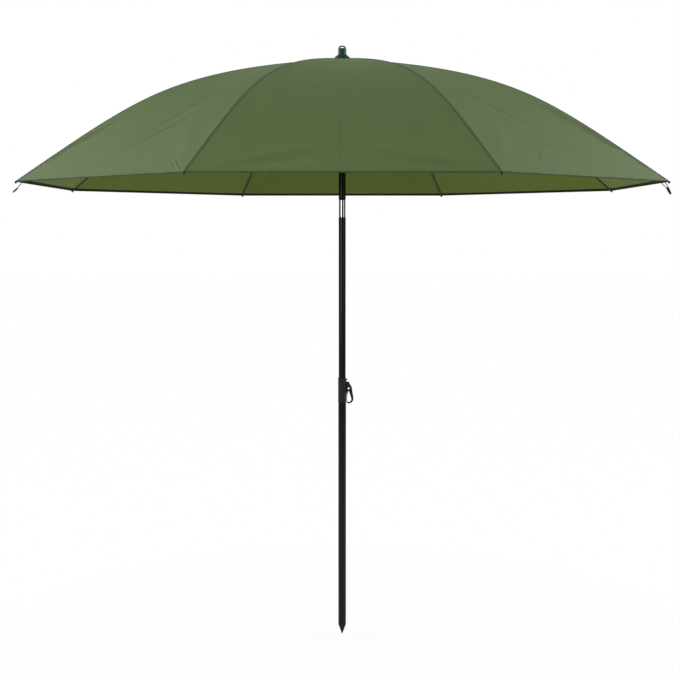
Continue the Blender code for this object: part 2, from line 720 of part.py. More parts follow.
catch_face = -MAST_RADIUS - CATCH_PROUD
flange_face = catch_inner_face - CATCH_FLANGE_THICKNESS
catch = box(
    "runner_catch",
    (-CATCH_WIDTH / 2, catch_face, CATCH_TOP - CATCH_HEIGHT),
    (CATCH_WIDTH / 2, flange_face + CATCH_FLANGE_THICKNESS / 2, CATCH_TOP),
)
for vertex in catch.data.vertices:
    if vertex.co.y < -MAST_RADIUS and vertex.co.z < catch_middle:
        vertex.co.y = -MAST_RADIUS + SEAT_GAP
nose = box(
    "catch_nose",
    (-CATCH_WIDTH / 2, catch_face, CATCH_TOP - CATCH_HEIGHT + CATCH_RAMP),
    (CATCH_WIDTH / 2, -MAST_BORE_RADIUS, CATCH_TOP),
)
fuse(
    catch,
    nose,
    box("catch_flange",
        (-CATCH_FLANGE_WIDTH / 2, flange_face, catch_middle - CATCH_FLANGE_HEIGHT / 2),
        (CATCH_FLANGE_WIDTH / 2, flange_face + CATCH_FLANGE_THICKNESS,
         catch_middle + CATCH_FLANGE_HEIGHT / 2)),
)
settle(catch, BRIGHT_STEEL, tilt)


def notches(name, inner, outer, width, side, low, high):
    """Boxes that cut a slot for each rib or stretcher into a turned piece."""
    bm = bmesh.new()
    for i in range(RIB_COUNT):
        made = bmesh.ops.create_cube(bm, size=1.0)["verts"]
        bmesh.ops.scale(bm, vec=(outer - inner, width, high - low), verts=made)
        bmesh.ops.translate(
            bm, vec=((inner + outer) / 2, side, (low + high) / 2), verts=made
        )
        turn = Matrix.Rotation((2 * i + 1) * HALF_PANEL, 4, "Z")
        bmesh.ops.transform(bm, matrix=turn, verts=made)
    return from_bmesh(name, bm)


def hinge_wire(name, radius, height):
    """The ring of wire on which ribs or stretchers turn."""
    bpy.ops.mesh.primitive_torus_add(
        major_radius=radius, minor_radius=HINGE_WIRE_RADIUS,
        major_segments=TUBE_SIDES, minor_segments=WIRE_SIDES, location=(0.0, 0.0, height),
    )
    ring = bpy.context.active_object
    for collection in list(ring.users_collection):
        collection.objects.unlink(ring)
    ring.name = name
    return link(ring)


# Crown: the hub on the upper tube's top, slotted for the ribs
hub_radius = CROWN_BORE_RADIUS + CROWN_HUB_WALL
flange_bottom = CROWN_HEIGHT - CROWN_FLANGE_DROP
crown_top = CROWN_HEIGHT + CROWN_TOP_RISE
crown_bottom = CROWN_HEIGHT - CROWN_HUB_DROP
crown = turned("crown", [
    (CROWN_RADIUS, crown_top),
    (CROWN_RADIUS, flange_bottom),
    (hub_radius, flange_bottom),
    (hub_radius, crown_bottom),
    (CROWN_BORE_RADIUS, crown_bottom),
    (CROWN_BORE_RADIUS, crown_socket),
    (CROWN_SOCKET_RADIUS + SEAT_GAP, crown_socket),
    (CROWN_SOCKET_RADIUS + SEAT_GAP, crown_top),
], closed=True)
cut(crown, notches(
    "rib_slots", CROWN_HINGE_RADIUS - RIB_EYE_RADIUS - HINGE_GAP, CROWN_RADIUS + CUT_OVERRUN,
    RIB_SLOT, 0.0, flange_bottom - CUT_OVERRUN, crown_top + CUT_OVERRUN,
))
fuse(crown, hinge_wire("crown_wire", CROWN_HINGE_RADIUS, CROWN_HEIGHT))
settle(crown, BLACK_PLASTIC, tilt)

# Finial: its spigot stands in the crown, its flare holds down the canopy's middle
flare_bottom = CROWN_HEIGHT + FABRIC_LIFT + FABRIC_THICKNESS / 2 + SEAT_GAP
finial_top = flare_bottom + FINIAL_HEIGHT
finial = turned("finial", [
    (0.0, finial_top),
    (FINIAL_RADIUS - FINIAL_SHOULDER, finial_top),
    (FINIAL_RADIUS, finial_top - FINIAL_SHOULDER),
    (FINIAL_RADIUS, flare_bottom + FINIAL_FLARE_HEIGHT),
    (FINIAL_FLARE_RADIUS, flare_bottom + FINIAL_RIM),
    (FINIAL_FLARE_RADIUS, flare_bottom),
    (CROWN_SOCKET_RADIUS, flare_bottom),
    (CROWN_SOCKET_RADIUS, crown_top - FINIAL_SPIGOT_LENGTH),
    (0.0, crown_top - FINIAL_SPIGOT_LENGTH),
])
loop_half = FINIAL_RADIUS - FINIAL_LOOP_RADIUS - FINIAL_SHOULDER / 2
loop_foot = finial_top - 2 * FINIAL_LOOP_RADIUS
loop_rise = FINIAL_LOOP_RISE + FINIAL_LOOP_RADIUS
loop_path = []
for i in range(LOOP_STEPS + 1):
    turn = math.pi * i / LOOP_STEPS
    height = math.sin(turn) ** FINIAL_LOOP_SQUARENESS_share
    loop_path.append((-loop_half * math.cos(turn), 0.0, loop_foot + loop_rise * height))
fuse(finial, wire("finial_loop", loop_path, FINIAL_LOOP_RADIUS))
settle(finial, GREEN_PLASTIC, tilt)

# Runner: slides on the pole, slotted for the stretchers
fold = joint_empty("fold", (0.0, 0.0, RUNNER_HEIGHT), parent=tilt)
runner_outer = RUNNER_BORE_RADIUS + RUNNER_WALL
runner_wire = math.hypot(RUNNER_HINGE_RADIUS, STRETCHER_SIDE)
flange_top = RUNNER_HEIGHT + RUNNER_FLANGE_RISE
flange_low = RUNNER_HEIGHT - RUNNER_FLANGE_DROP
runner = turned("runner", [
    (runner_outer, RUNNER_HEIGHT + RUNNER_SLEEVE_RISE),
    (runner_outer, flange_top),
    (RUNNER_RADIUS, flange_top),
    (RUNNER_RADIUS, flange_low),
    (runner_outer, flange_low),
    (runner_outer, RUNNER_HEIGHT - RUNNER_SLEEVE_DROP),
    (RUNNER_BORE_RADIUS, RUNNER_HEIGHT - RUNNER_SLEEVE_DROP),
    (RUNNER_BORE_RADIUS, RUNNER_HEIGHT + RUNNER_SLEEVE_RISE),
], closed=True)
cut(runner, notches(
    "stretcher_slots", RUNNER_HINGE_RADIUS - STRETCHER_EYE_RADIUS - HINGE_GAP,
    RUNNER_RADIUS + CUT_OVERRUN, STRETCHER_SLOT, STRETCHER_SIDE,
    flange_low - CUT_OVERRUN, flange_top + CUT_OVERRUN,
))
fuse(runner, hinge_wire("runner_wire", runner_wire, RUNNER_HEIGHT))
settle(runner, BLACK_PLASTIC, fold)

# Empties on the crown's and the runner's hinges, one for each rib and stretcher
rib_hinges, stretcher_hinges = [], []
for i in range(RIB_COUNT):
    turn = (2 * i + 1) * HALF_PANEL
    outwards = Vector((math.cos(turn), math.sin(turn), 0.0))
    rib_hinges.append(joint_empty(
        f"rib_hinge_{i + 1}", CROWN_HINGE_RADIUS * outwards + Vector((0.0, 0.0, CROWN_HEIGHT)),
        turn, tilt,
    ))
    stretcher_hinges.append(joint_empty(
        f"stretcher_hinge_{i + 1}",
        RUNNER_HINGE_RADIUS * outwards + Vector((0.0, 0.0, RUNNER_HEIGHT)), turn, fold,
    ))

# Rib: a bowed rod with an eye for the crown's wire and a clip for the stretcher. In its own
# frame +X is outwards and the origin is its hinge.
rod_path = [Vector((out, 0.0, up)) for out, up, _ in rib_course(RIB_POINTS)]
rib_end_out, rib_end_up, rib_end_slope = rib_course(RIB_POINTS)[-1]
rib_outwards = Vector((math.cos(rib_end_slope), 0.0, -math.sin(rib_end_slope)))
rib_end = Vector((rib_end_out, 0.0, rib_end_up))
rod_path[0] = rod_path[1].normalized() * (HINGE_WIRE_RADIUS + HINGE_GAP)
rib = wire("rib", rod_path + [rib_end + RIB_END * rib_outwards], RIB_RADIUS)
clip_out, clip_up, clip_slope = rib_place(STRETCHER_JOINT_share)
clip = box("clip", (-CLIP_LENGTH / 2, -CLIP_HALF_WIDTH, -CLIP_DEPTH),
           (CLIP_LENGTH / 2, CLIP_HALF_WIDTH, CLIP_TOP))
clip_turn = Matrix.Translation((clip_out, 0.0, clip_up)) @ Matrix.Rotation(clip_slope, 4, "Y")
clip.data.transform(clip_turn)
joint_out, joint_up, _ = rib_place(STRETCHER_JOINT_share, -STRETCHER_DROP)
fuse(rib, cylinder("rib_eye", RIB_EYE_RADIUS, RIB_EYE_WIDTH, axis="Y"), clip)
cut(
    rib,
    cylinder("rib_eye_hole", EYE_HOLE_RADIUS, 2 * RIB_EYE_WIDTH, sides=SMALL_SIDES,
             axis="Y"),
    cylinder("clip_hole", CLIP_RIVET_RADIUS, 2 * CLIP_HALF_WIDTH + CUT_OVERRUN, sides=SMALL_SIDES,
             axis="Y", middle=(joint_out, 0.0, joint_up)),
)
copies(rib, [f"rib_{i + 1}" for i in range(RIB_COUNT)], rib_hinges, BLACK_FIBRE)

# Rib tip: a moulded cap on the rib's end, just past the canopy's corner
cap_bore = RIB_RADIUS + SEAT_GAP
tip = turned("rib_tip", [
    (0.0, TIP_LENGTH),
    (TIP_RADIUS - TIP_ROUNDING, TIP_LENGTH),
    (TIP_RADIUS, TIP_LENGTH - TIP_ROUNDING),
    (TIP_RADIUS, FABRIC_THICKNESS),
    (cap_bore, FABRIC_THICKNESS),
    (cap_bore, RIB_END + SEAT_GAP),
    (0.0, RIB_END + SEAT_GAP),
], SMALL_SIDES)
tip = meshed(tip)
tip.data.transform(
    Matrix.Translation(rib_end) @ Matrix.Rotation(math.pi / 2 + rib_end_slope, 4, "Y")
)
copies(tip, [f"rib_tip_{i + 1}" for i in range(RIB_COUNT)], rib_hinges, BLACK_PLASTIC)

# Stretcher: a tube from the runner's wire to the rib's clip, which it passes at the side
reach = Vector((
    CROWN_HINGE_RADIUS + joint_out - RUNNER_HINGE_RADIUS, 0.0, RUNNER_DROP + joint_up
))
side = Vector((0.0, STRETCHER_SIDE, 0.0))
start = side + reach.normalized() * (HINGE_WIRE_RADIUS + HINGE_GAP)
stretcher = wire("stretcher", [start, side + reach / 2, side + reach], STRETCHER_RADIUS)
fuse(
    stretcher,
    cylinder("runner_eye", STRETCHER_EYE_RADIUS, STRETCHER_EYE_WIDTH, axis="Y", middle=side),
    cylinder("clip_eye", STRETCHER_EYE_RADIUS, STRETCHER_EYE_WIDTH, axis="Y",
             middle=side + reach),
)
cut(
    stretcher,
    cylinder("runner_eye_hole", EYE_HOLE_RADIUS, 3 * STRETCHER_EYE_WIDTH,
             sides=SMALL_SIDES, axis="Y", middle=side),
    cylinder("clip_eye_hole", CLIP_RIVET_RADIUS, 3 * STRETCHER_EYE_WIDTH,
             sides=SMALL_SIDES, axis="Y", middle=side + reach),
)
copies(stretcher, [f"stretcher_{i + 1}" for i in range(RIB_COUNT)], stretcher_hinges,
       BLACK_STEEL)


# Canopy: each panel is stretched straight across between two ribs and folds on its middle
# line, so it is made as two halves, one on each rib
def half_panel(name, hand):
    """Half a panel beside a rib, towards +Y of the rib's own frame or -Y."""
    course = rib_course(RIB_POINTS)
    begin = (FABRIC_START_RADIUS - CROWN_HINGE_RADIUS) / course[1][0]
    course[0] = tuple(a + (b - a) * begin for a, b in zip(course[0], course[1]))
    bm = bmesh.new()
    rows = []
    for rib_out, rib_up, slope in course:
        out = rib_out + FABRIC_LIFT * math.sin(slope)
        up = rib_up + FABRIC_LIFT * math.cos(slope)
        width = (CROWN_HINGE_RADIUS + out) * math.sin(HALF_PANEL)
        row = []
        for across in (SEAM_GAP / 2, width - SEAM_GAP / 2):
            place = (
                out - across * math.sin(HALF_PANEL), hand * across * math.cos(HALF_PANEL), up
            )
            row.append(bm.verts.new(place))
        rows.append(row)
    for upper_row, lower_row in zip(rows, rows[1:]):
        face = (upper_row[0], lower_row[0], lower_row[1], upper_row[1])
        bm.faces.new(face if hand > 0 else face[::-1])
    panel = from_bmesh(name, bm)
    thickness = panel.modifiers.new("cloth", "SOLIDIFY")
    thickness.thickness = FABRIC_THICKNESS
    thickness.offset = 0.0
    return panel


for hand, word in ((1, "left"), (-1, "right")):
    copies(
        half_panel("half_panel", hand),
        [f"canopy_panel_{i + 1}_{word}" for i in range(RIB_COUNT)], rib_hinges, CANOPY_CLOTH,
    )


# Guy cords, tied in below the ribs' ends
def route(points, count):
    """A cord's smooth course below the rib's end, in the rib's own frame."""
    return [rib_end + Vector((p[0], 0.0, p[1])) for p in smooth_path(points, count)]


def knot(name, top, slope, radius, length):
    """A cord's knotted end: a barrel with drawn-in ends, pointing down along its slope."""
    barrel = meshed(turned(name, [
        (0.0, 0.0),
        (radius * KNOT_NECK_share, 0.0),
        (radius, -length * KNOT_SHOULDER_share),
        (radius, -length * (1 - KNOT_SHOULDER_share)),
        (radius * KNOT_NECK_share, -length),
        (0.0, -length),
    ], SMALL_SIDES))
    barrel.data.transform(
        Matrix.Translation(top) @ Matrix.Rotation(slope - math.pi / 2, 4, "Y")
    )
    return barrel


left_path = route(LEFT_CORD_ROUTE, CORD_POINTS)
left_cord = wire("guy_cord_left", left_path, CORD_RADIUS, detail=2)
left_drop = Vector((math.cos(KNOT_SLOPE), 0.0, -math.sin(KNOT_SLOPE)))
fuse(left_cord, knot("left_knot", left_path[-1] - left_drop * KNOT_LENGTH / 2, KNOT_SLOPE,
                     KNOT_RADIUS, KNOT_LENGTH))
copies(left_cord, ["guy_cord_left"], [rib_hinges[RIB_COUNT // 2]], CORD_YARN)

right_path = route(RIGHT_CORD_ROUTE, 2 * CORD_POINTS)
right_cord = wire("guy_cord_right", right_path, CORD_RADIUS, detail=2)
knot_top = rib_end + Vector((LOOP_KNOT_TOP[0], 0.0, LOOP_KNOT_TOP[1]))
fuse(right_cord, knot("right_knot", knot_top, LOOP_KNOT_SLOPE, LOOP_KNOT_RADIUS,
                      LOOP_KNOT_LENGTH))
copies(right_cord, ["guy_cord_right"], [rib_hinges[RIB_COUNT - 1]], CORD_YARN)

print("canopy corner at radius", round(CROWN_HINGE_RADIUS + rib_end_out, 4),
      "and height", round(CROWN_HEIGHT + rib_end_up, 4))
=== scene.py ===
# %% [markdown]
# # A fishing umbrella, dressed
#
# The umbrella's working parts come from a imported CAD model: its tubes, hinges and joints are
# already in place and at their real size. This script gives them their looks. It builds a
# fine surface over each part that shows, makes the canopy out of cloth, and paints every
# surface with a procedural finish. Nothing here moves the CAD parts.

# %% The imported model
import json
import math

import bmesh
import bpy
from mathutils import Matrix, Vector, noise


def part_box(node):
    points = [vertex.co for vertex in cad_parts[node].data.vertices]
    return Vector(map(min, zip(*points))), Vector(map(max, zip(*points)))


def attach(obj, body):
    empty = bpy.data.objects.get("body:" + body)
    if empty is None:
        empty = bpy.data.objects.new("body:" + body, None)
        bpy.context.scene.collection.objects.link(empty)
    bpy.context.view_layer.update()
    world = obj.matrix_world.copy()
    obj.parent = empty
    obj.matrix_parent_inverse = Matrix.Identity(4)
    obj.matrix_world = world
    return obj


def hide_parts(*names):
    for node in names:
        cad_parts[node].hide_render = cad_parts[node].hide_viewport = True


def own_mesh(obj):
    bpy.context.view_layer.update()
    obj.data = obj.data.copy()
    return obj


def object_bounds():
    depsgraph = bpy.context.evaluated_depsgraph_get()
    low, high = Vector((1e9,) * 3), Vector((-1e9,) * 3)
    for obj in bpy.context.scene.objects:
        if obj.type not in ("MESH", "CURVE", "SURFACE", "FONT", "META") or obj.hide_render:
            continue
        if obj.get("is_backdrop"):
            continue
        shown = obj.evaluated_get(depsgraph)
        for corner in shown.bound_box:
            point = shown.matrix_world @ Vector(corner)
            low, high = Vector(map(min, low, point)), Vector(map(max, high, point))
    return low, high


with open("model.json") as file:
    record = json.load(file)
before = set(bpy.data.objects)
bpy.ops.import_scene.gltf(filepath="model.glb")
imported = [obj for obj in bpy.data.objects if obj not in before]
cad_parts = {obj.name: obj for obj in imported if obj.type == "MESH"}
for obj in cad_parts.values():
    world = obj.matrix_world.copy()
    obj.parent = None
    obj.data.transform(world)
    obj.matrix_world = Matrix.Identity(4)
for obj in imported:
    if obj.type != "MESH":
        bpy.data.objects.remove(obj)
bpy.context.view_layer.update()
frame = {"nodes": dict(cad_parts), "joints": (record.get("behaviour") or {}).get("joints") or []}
joints = {joint["name"]: joint for joint in frame["joints"]}

# %% [markdown]
# ## Sizes read from the frame
#
# A round part stands on the pole's axis, so its box gives its radius and its two ends. The
# hinges' places give the rest: how far out the ribs hang in the crown, and how high. Reading
# these beats typing them, because the dressed part then follows the CAD part.

# %% Round parts and hinges
def round_part(node):
    """Radius, foot and top of a part that is round about the pole's axis."""
    low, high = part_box(node)
    return (high.y - low.y) / 2, low.z, high.z


RIB_COUNT = 8
HALF_PANEL = math.pi / RIB_COUNT
crown_hinge = Vector(joints["rib_1_hinge"]["pos_m"])
runner_hinge = Vector(joints["stretcher_1_hinge"]["pos_m"])
CROWN_HINGE_RADIUS = crown_hinge.xy.length
CROWN_HEIGHT = crown_hinge.z
RUNNER_HINGE_RADIUS = runner_hinge.xy.length
RUNNER_HEIGHT = runner_hinge.z
TILT_HEIGHT = joints["tilt"]["pos_m"][2]
print("crown hinges", round(CROWN_HINGE_RADIUS, 4), "out at height", round(CROWN_HEIGHT, 4))

# %% [markdown]
# ## The ribs' bow
#
# Each rib is a springy rod that the stretched cloth bends. The bend grows from the crown to
# a peak near the stretcher and fades out to the tip, so the slope is the running sum of that
# bend, and the place along the rib is the running sum of the slope. Two short sums give a
# truer bow than a circle or a hand-drawn curve would.

# %% The bow as a function
RIB_ARC = 1.2144
RIB_CROWN_SLOPE = math.radians(7.0)
RIB_TIP_SLOPE = math.radians(35.0)
RIB_BEND_PEAK = 0.55
RIB_READINGS = 400


def bend_at(share):
    """How hard the rib is bent, as a share of its most."""
    if share < RIB_BEND_PEAK:
        return share / RIB_BEND_PEAK
    return ((1 - share) / (1 - RIB_BEND_PEAK)) ** 2


def read_bow():
    """(out, up, slope) from the crown's hinge at even steps along the rib."""
    bends = [bend_at(i / RIB_READINGS) for i in range(RIB_READINGS + 1)]
    turned = [0.0]
    for before, after in zip(bends, bends[1:]):
        turned.append(turned[-1] + (before + after) / 2)
    span = RIB_TIP_SLOPE - RIB_CROWN_SLOPE
    slopes = [RIB_CROWN_SLOPE + span * turn / turned[-1] for turn in turned]
    out, up, places = 0.0, 0.0, [(0.0, 0.0, slopes[0])]
    for before, after in zip(slopes, slopes[1:]):
        middle = (before + after) / 2
        out += RIB_ARC / RIB_READINGS * math.cos(middle)
        up -= RIB_ARC / RIB_READINGS * math.sin(middle)
        places.append((out, up, after))
    return places


BOW = read_bow()


def on_bow(share, lift=0.0):
    """(out, up, slope) at a share of the rib's length, lifted square to the rib."""
    along = min(max(share, 0.0), 1.0) * RIB_READINGS
    i = min(int(along), RIB_READINGS - 1)
    out, up, slope = (a + (b - a) * (along - i) for a, b in zip(BOW[i], BOW[i + 1]))
    return out + lift * math.sin(slope), up + lift * math.cos(slope), slope


def rib_azimuth(k):
    return (2 * k - 1) * HALF_PANEL


def rib_frame(k):
    """Rib k's own axes: outwards, sideways, up, from its hinge in the crown."""
    turn = Matrix.Rotation(rib_azimuth(k), 4, "Z")
    return Matrix.Translation((0, 0, CROWN_HEIGHT)) @ turn @ Matrix.Translation(
        (CROWN_HINGE_RADIUS, 0, 0))


rib_end = Vector((BOW[-1][0], 0.0, BOW[-1][1]))
CHORD_SLOPE = math.atan2(-rib_end.z, rib_end.x)
print("canopy corner", round(CROWN_HINGE_RADIUS + rib_end.x, 4), "out and",
      round(CROWN_HEIGHT + rib_end.z, 4), "up")

# %% [markdown]
# ## Camera
#
# The photo looks at the umbrella from about four and a half metres away and a little below
# the hem, through a long lens, so the pole keeps nearly the same width from top to bottom. A
# camera is an object with camera data; turning it a right angle about X makes it look along
# +Y, and a few degrees less tips it down.

# %% The camera
CAMERA_BACK = 4.52
CAMERA_HEIGHT = 1.449
CAMERA_SIDE = -0.0078
CAMERA_DIP = math.radians(4.77)
LENS_MM, SENSOR_MM = 67.3, 36.0


def linked(name, data):
    """A new object in the scene."""
    made = bpy.data.objects.new(name, data)
    bpy.context.scene.collection.objects.link(made)
    return made


camera = linked("camera", bpy.data.cameras.new("camera"))
camera.location = (CAMERA_SIDE, -CAMERA_BACK, CAMERA_HEIGHT)
camera.rotation_euler = (math.pi / 2 - CAMERA_DIP, 0.0, 0.0)
camera.data.lens = LENS_MM
camera.data.sensor_width = SENSOR_MM
bpy.context.scene.camera = camera
bpy.context.scene.view_settings.view_transform = "Standard"
print("camera", CAMERA_BACK, "m back at height", CAMERA_HEIGHT)

# %% [markdown]
# ## Shader maths in plain Python
#
# A pattern is easier to read as a sum than as a list of nodes. The class below wraps a
# socket, so that `1 - mask * 0.5` adds its own Math nodes. Everything else goes through one
# method, which takes the node's type, its settings and its inputs.

# %% A socket that can be summed
class Value:
    """An output socket of a finish, which adds Math nodes when it is used in a sum."""

    def __init__(self, finish, socket):
        self.finish = finish
        self.socket = socket

    def maths(self, operation, *others):
        return self.finish.node("ShaderNodeMath", {"operation": operation},
                                dict(enumerate((self, *others))))

    def __add__(self, other):
        return self.maths("ADD", other)

    def __sub__(self, other):
        return self.maths("SUBTRACT", other)

    def __mul__(self, other):
        return self.maths("MULTIPLY", other)

    def __rsub__(self, other):
        return (self * -1.0) + other

    __radd__ = __add__
    __rmul__ = __mul__

    def clamped(self):
        return self.maths("MAXIMUM", 0.0).maths("MINIMUM", 1.0)

    def rising(self, start, slope):
        """0 up to a start, and from there to 1 at a slope."""
        return ((self - start) * slope).clamped()


# %% A finish that holds the nodes
NOISE_ROUGHNESS = 0.55


class Finish:
    """A material or a world being made: its nodes, and one way to add a node."""

    def __init__(self, name, owners=bpy.data.materials, end="ShaderNodeOutputMaterial"):
        self.owner = owners.new(name)
        self.owner.use_nodes = True
        self.tree = self.owner.node_tree
        self.tree.nodes.clear()
        self.end = end

    def node(self, kind, settings=None, inputs=None, output=0):
        """Adds a node: settings first, then its inputs as values or links."""
        made = self.tree.nodes.new(kind)
        for key, value in (settings or {}).items():
            setattr(made, key, value)
        for key, value in (inputs or {}).items():
            if isinstance(value, Value):
                self.tree.links.new(value.socket, made.inputs[key])
            elif isinstance(value, (tuple, list)) and len(made.inputs[key].default_value) == 4:
                made.inputs[key].default_value = (*value, 1.0)
            else:
                made.inputs[key].default_value = value
        return Value(self, made.outputs[output])

    def place(self, source="Object", stretch=(1.0, 1.0, 1.0)):
        """Coordinates from the piece itself or its UV map, stretched."""
        where = self.node("ShaderNodeTexCoord", output=source)
        return self.node("ShaderNodeMapping", {}, {"Vector": where, "Scale": stretch})

    def noise(self, where, scale, detail):
        return self.node("ShaderNodeTexNoise", {}, {
            "Vector": where, "Scale": scale, "Detail": detail, "Roughness": NOISE_ROUGHNESS})

    def part_of(self, where, axis):
        return self.node("ShaderNodeSeparateXYZ", {}, {"Vector": where}, axis)

    def blend(self, share, first, second):
        """A colour between two, by share."""
        return self.node("ShaderNodeMix", {"data_type": "RGBA"},
                         {0: share, 6: first, 7: second}, 2)

    def bump(self, height, distance, strength):
        return self.node("ShaderNodeBump", {},
                         {"Height": height, "Distance": distance, "Strength": strength})

    def surface(self, shader):
        """Sends a shader to the output and returns the material or the world."""
        end = self.tree.nodes.new(self.end)
        self.tree.links.new(shader.socket, end.inputs["Surface"])
        return self.owner

    def painted(self, inputs):
        """A surface of one Principled shader."""
        return self.surface(self.node("ShaderNodeBsdfPrincipled", {}, inputs))


# %% [markdown]
# ## Black powder coat and bright plate
#
# The pole is steel with a glossy black coat. Up close such a coat is not quite flat: it has
# a faint orange peel and, on a tube that slides, thin scuffs along its length. Noise that is
# stretched along the tube makes the scuffs. The joint sleeve is plated, so it is a full
# metal whose look comes from what it mirrors, with only a breath of tarnish.

# %% Metal finishes
COAT_BLACK, COAT_WORN = (0.0020, 0.0022, 0.0013), (0.012, 0.013, 0.009)
PLATE_BRIGHT, PLATE_DULL = (0.41, 0.41, 0.37), (0.34, 0.34, 0.30)
ALONG_TUBE, ROUND_SLEEVE = (420.0, 420.0, 5.0), (60.0, 60.0, 900.0)


def black_coat():
    coat = Finish("black_coat")
    place = coat.place()
    peel = coat.noise(place, scale=900.0, detail=2.0)
    scuffs = coat.noise(coat.place(stretch=ALONG_TUBE), scale=1.0, detail=2.0)
    wear_and_crease_shade = scuffs.rising(start=0.63, slope=9.0)
    dust = coat.noise(place, scale=14.0, detail=4.0)
    return coat.painted({
        "Base Color": coat.blend(wear_and_crease_shade * 0.12, COAT_BLACK, COAT_WORN),
        "Roughness": dust * 0.05 + 0.17 + wear_and_crease_shade * 0.06,
        "Specular IOR Level": 0.22,
        "Normal": coat.bump(peel * 0.6 + scuffs * 0.2, distance=0.00002, strength=0.15),
    })


def bright_plate():
    plated = Finish("bright_plate")
    rubbed = plated.noise(plated.place(stretch=ROUND_SLEEVE), scale=1.0, detail=2.0)
    tarnish = plated.noise(plated.place(), scale=55.0, detail=5.0)
    return plated.painted({
        "Base Color": plated.blend(tarnish, PLATE_BRIGHT, PLATE_DULL),
        "Metallic": 1.0,
        "Roughness": tarnish * 0.05 + 0.06 + rubbed * 0.02,
        "Normal": plated.bump(rubbed, distance=0.00001, strength=0.1),
    })


BLACK_COAT = black_coat()
BRIGHT_PLATE = bright_plate()
print("metal finishes:", BLACK_COAT.name, BRIGHT_PLATE.name)

# %% [markdown]
# ## Plastics and glass fibre
#
# Moulded plastic has a fine eroded grain, and hands rub it shinier in places, which soft
# clouds of noise stand for. The finial is the same plastic in dark green. The ribs are drawn
# glass fibre: black, satin, and streaked along their length where the strands lie just under
# the surface.

# %% Plastic finishes
FIBRE_STREAKS = (90.0, 4.0, 1.0)


def moulded(name, dark, light, matt=0.42):
    plastic = Finish(name)
    place = plastic.place()
    pits = plastic.noise(place, scale=2600.0, detail=2.0)
    clouds = plastic.noise(place, scale=70.0, detail=4.0)
    return plastic.painted({
        "Base Color": plastic.blend(clouds, dark, light),
        "Roughness": clouds * 0.16 + matt,
        "Specular IOR Level": 0.24,
        "Normal": plastic.bump(pits, distance=0.00006, strength=0.5),
    })


def glass_fibre():
    fibre = Finish("glass_fibre")
    strands = fibre.noise(fibre.place("UV", FIBRE_STREAKS), scale=1.0, detail=3.0)
    return fibre.painted({
        "Base Color": fibre.blend(strands, (0.006, 0.006, 0.006), (0.020, 0.020, 0.018)),
        "Roughness": strands * 0.2 + 0.32,
        "Normal": fibre.bump(strands, distance=0.00005, strength=0.5),
    })


BLACK_PLASTIC = moulded("black_plastic", (0.005, 0.005, 0.0042), (0.012, 0.012, 0.0105))
GREEN_PLASTIC = moulded("green_plastic", (0.010, 0.034, 0.022), (0.020, 0.058, 0.038), matt=0.3)
GLASS_FIBRE = glass_fibre()
print("plastic finishes:", BLACK_PLASTIC.name, GREEN_PLASTIC.name, GLASS_FIBRE.name)

# %% [markdown]
# ## Coated nylon
#
# The canopy is woven nylon, olive outside. Its inside is a darker, yellower copy of the same
# cloth, which is painted shade for the shaded underside. Three things make it read as cloth: a
# weave far finer than a pixel at this distance, fine creases pressed in while it was packed, and
# a little light that comes through it. The last is a Translucent shader mixed into the
# Principled one. The creases are bumps, and their lines are also painted darker, which is
# painted shade in the crease. Patterns follow the UV map, which is in metres on the flat cloth,
# so threads run with the panel. A crease is a line on the flat cloth: a Mapping node turns the
# map into the crease's own frame, where it is one long and one wide.

# %% Creases on the flat cloth: start, end, half width and depth
# The pattern "front" is the gore that faces the camera, "left" and "right" are beside it.
CREASES = {
    "front": [
        ((-0.137, 0.777), (-0.077, 0.820), 0.0032, -0.7),
        ((-0.028, 0.723), (0.029, 0.753), 0.0030, 0.5),
        # This line down the gore's middle stands for the pole seen through the cloth: its darker
        # colour is painted shade.
        ((-0.007, 1.190), (-0.005, 0.808), 0.0070, 0.3),
    ],
    "left": [
        ((-0.078, 1.196), (0.118, 0.631), 0.0045, 0.5),
        ((-0.013, 1.063), (0.174, 0.820), 0.0040, -1.0),
        ((-0.056, 1.172), (0.169, 0.820), 0.0045, 0.6),
        ((0.115, 0.729), (0.169, 0.662), 0.0032, 0.8),
        ((0.175, 0.771), (0.218, 0.698), 0.0032, -0.8),
        ((0.204, 0.814), (0.222, 0.747), 0.0030, 0.7),
        ((0.313, 1.135), (0.398, 1.196), 0.0030, 0.9),
        ((0.300, 1.142), (0.384, 1.196), 0.0030, -0.8),
        ((-0.455, 1.240), (-0.240, 0.820), 0.0260, -0.7),
    ],
    "right": [
        ((-0.249, 0.759), (-0.117, 0.856), 0.0038, -0.8),
        ((-0.073, 0.832), (-0.126, 0.984), 0.0038, 0.8),
        ((-0.090, 0.917), (-0.026, 1.087), 0.0038, -0.9),
        ((-0.088, 1.038), (-0.177, 1.142), 0.0036, 0.7),
        ((-0.183, 0.789), (-0.208, 0.680), 0.0030, 0.6),
        ((0.455, 1.240), (0.200, 0.700), 0.0280, -0.8),
        ((-0.160, 0.560), (-0.020, 0.930), 0.0045, -0.7),
        ((0.010, 0.930), (0.120, 1.170), 0.0045, -0.6),
        ((0.020, 0.600), (0.170, 0.800), 0.0040, 0.6),
    ],
}

# %% Cloth finishes
THREAD = 0.0008
CLOTH_GLOSS, SEAM_GLOSS = 0.18, 0.02
THROUGH, THROUGH_DOUBLE = 0.18, 0.05
DYED_LIGHT = (0.90, 1.0, 0.26)
WANDER, WEAVE_HEIGHT, PUCKER_HEIGHT, CREASE_SHADE = 3.0, 0.03, 0.12, 0.8
SEAM_STITCH = 0.0034
SEAM_FOLD = 0.0028
STITCH_WIDTH = 0.0009
STITCH_LENGTH = 0.0060
SEWING_THREAD, SEAM_FOLD_SHADOW = (0.030, 0.042, 0.016), (0.014, 0.020, 0.008)


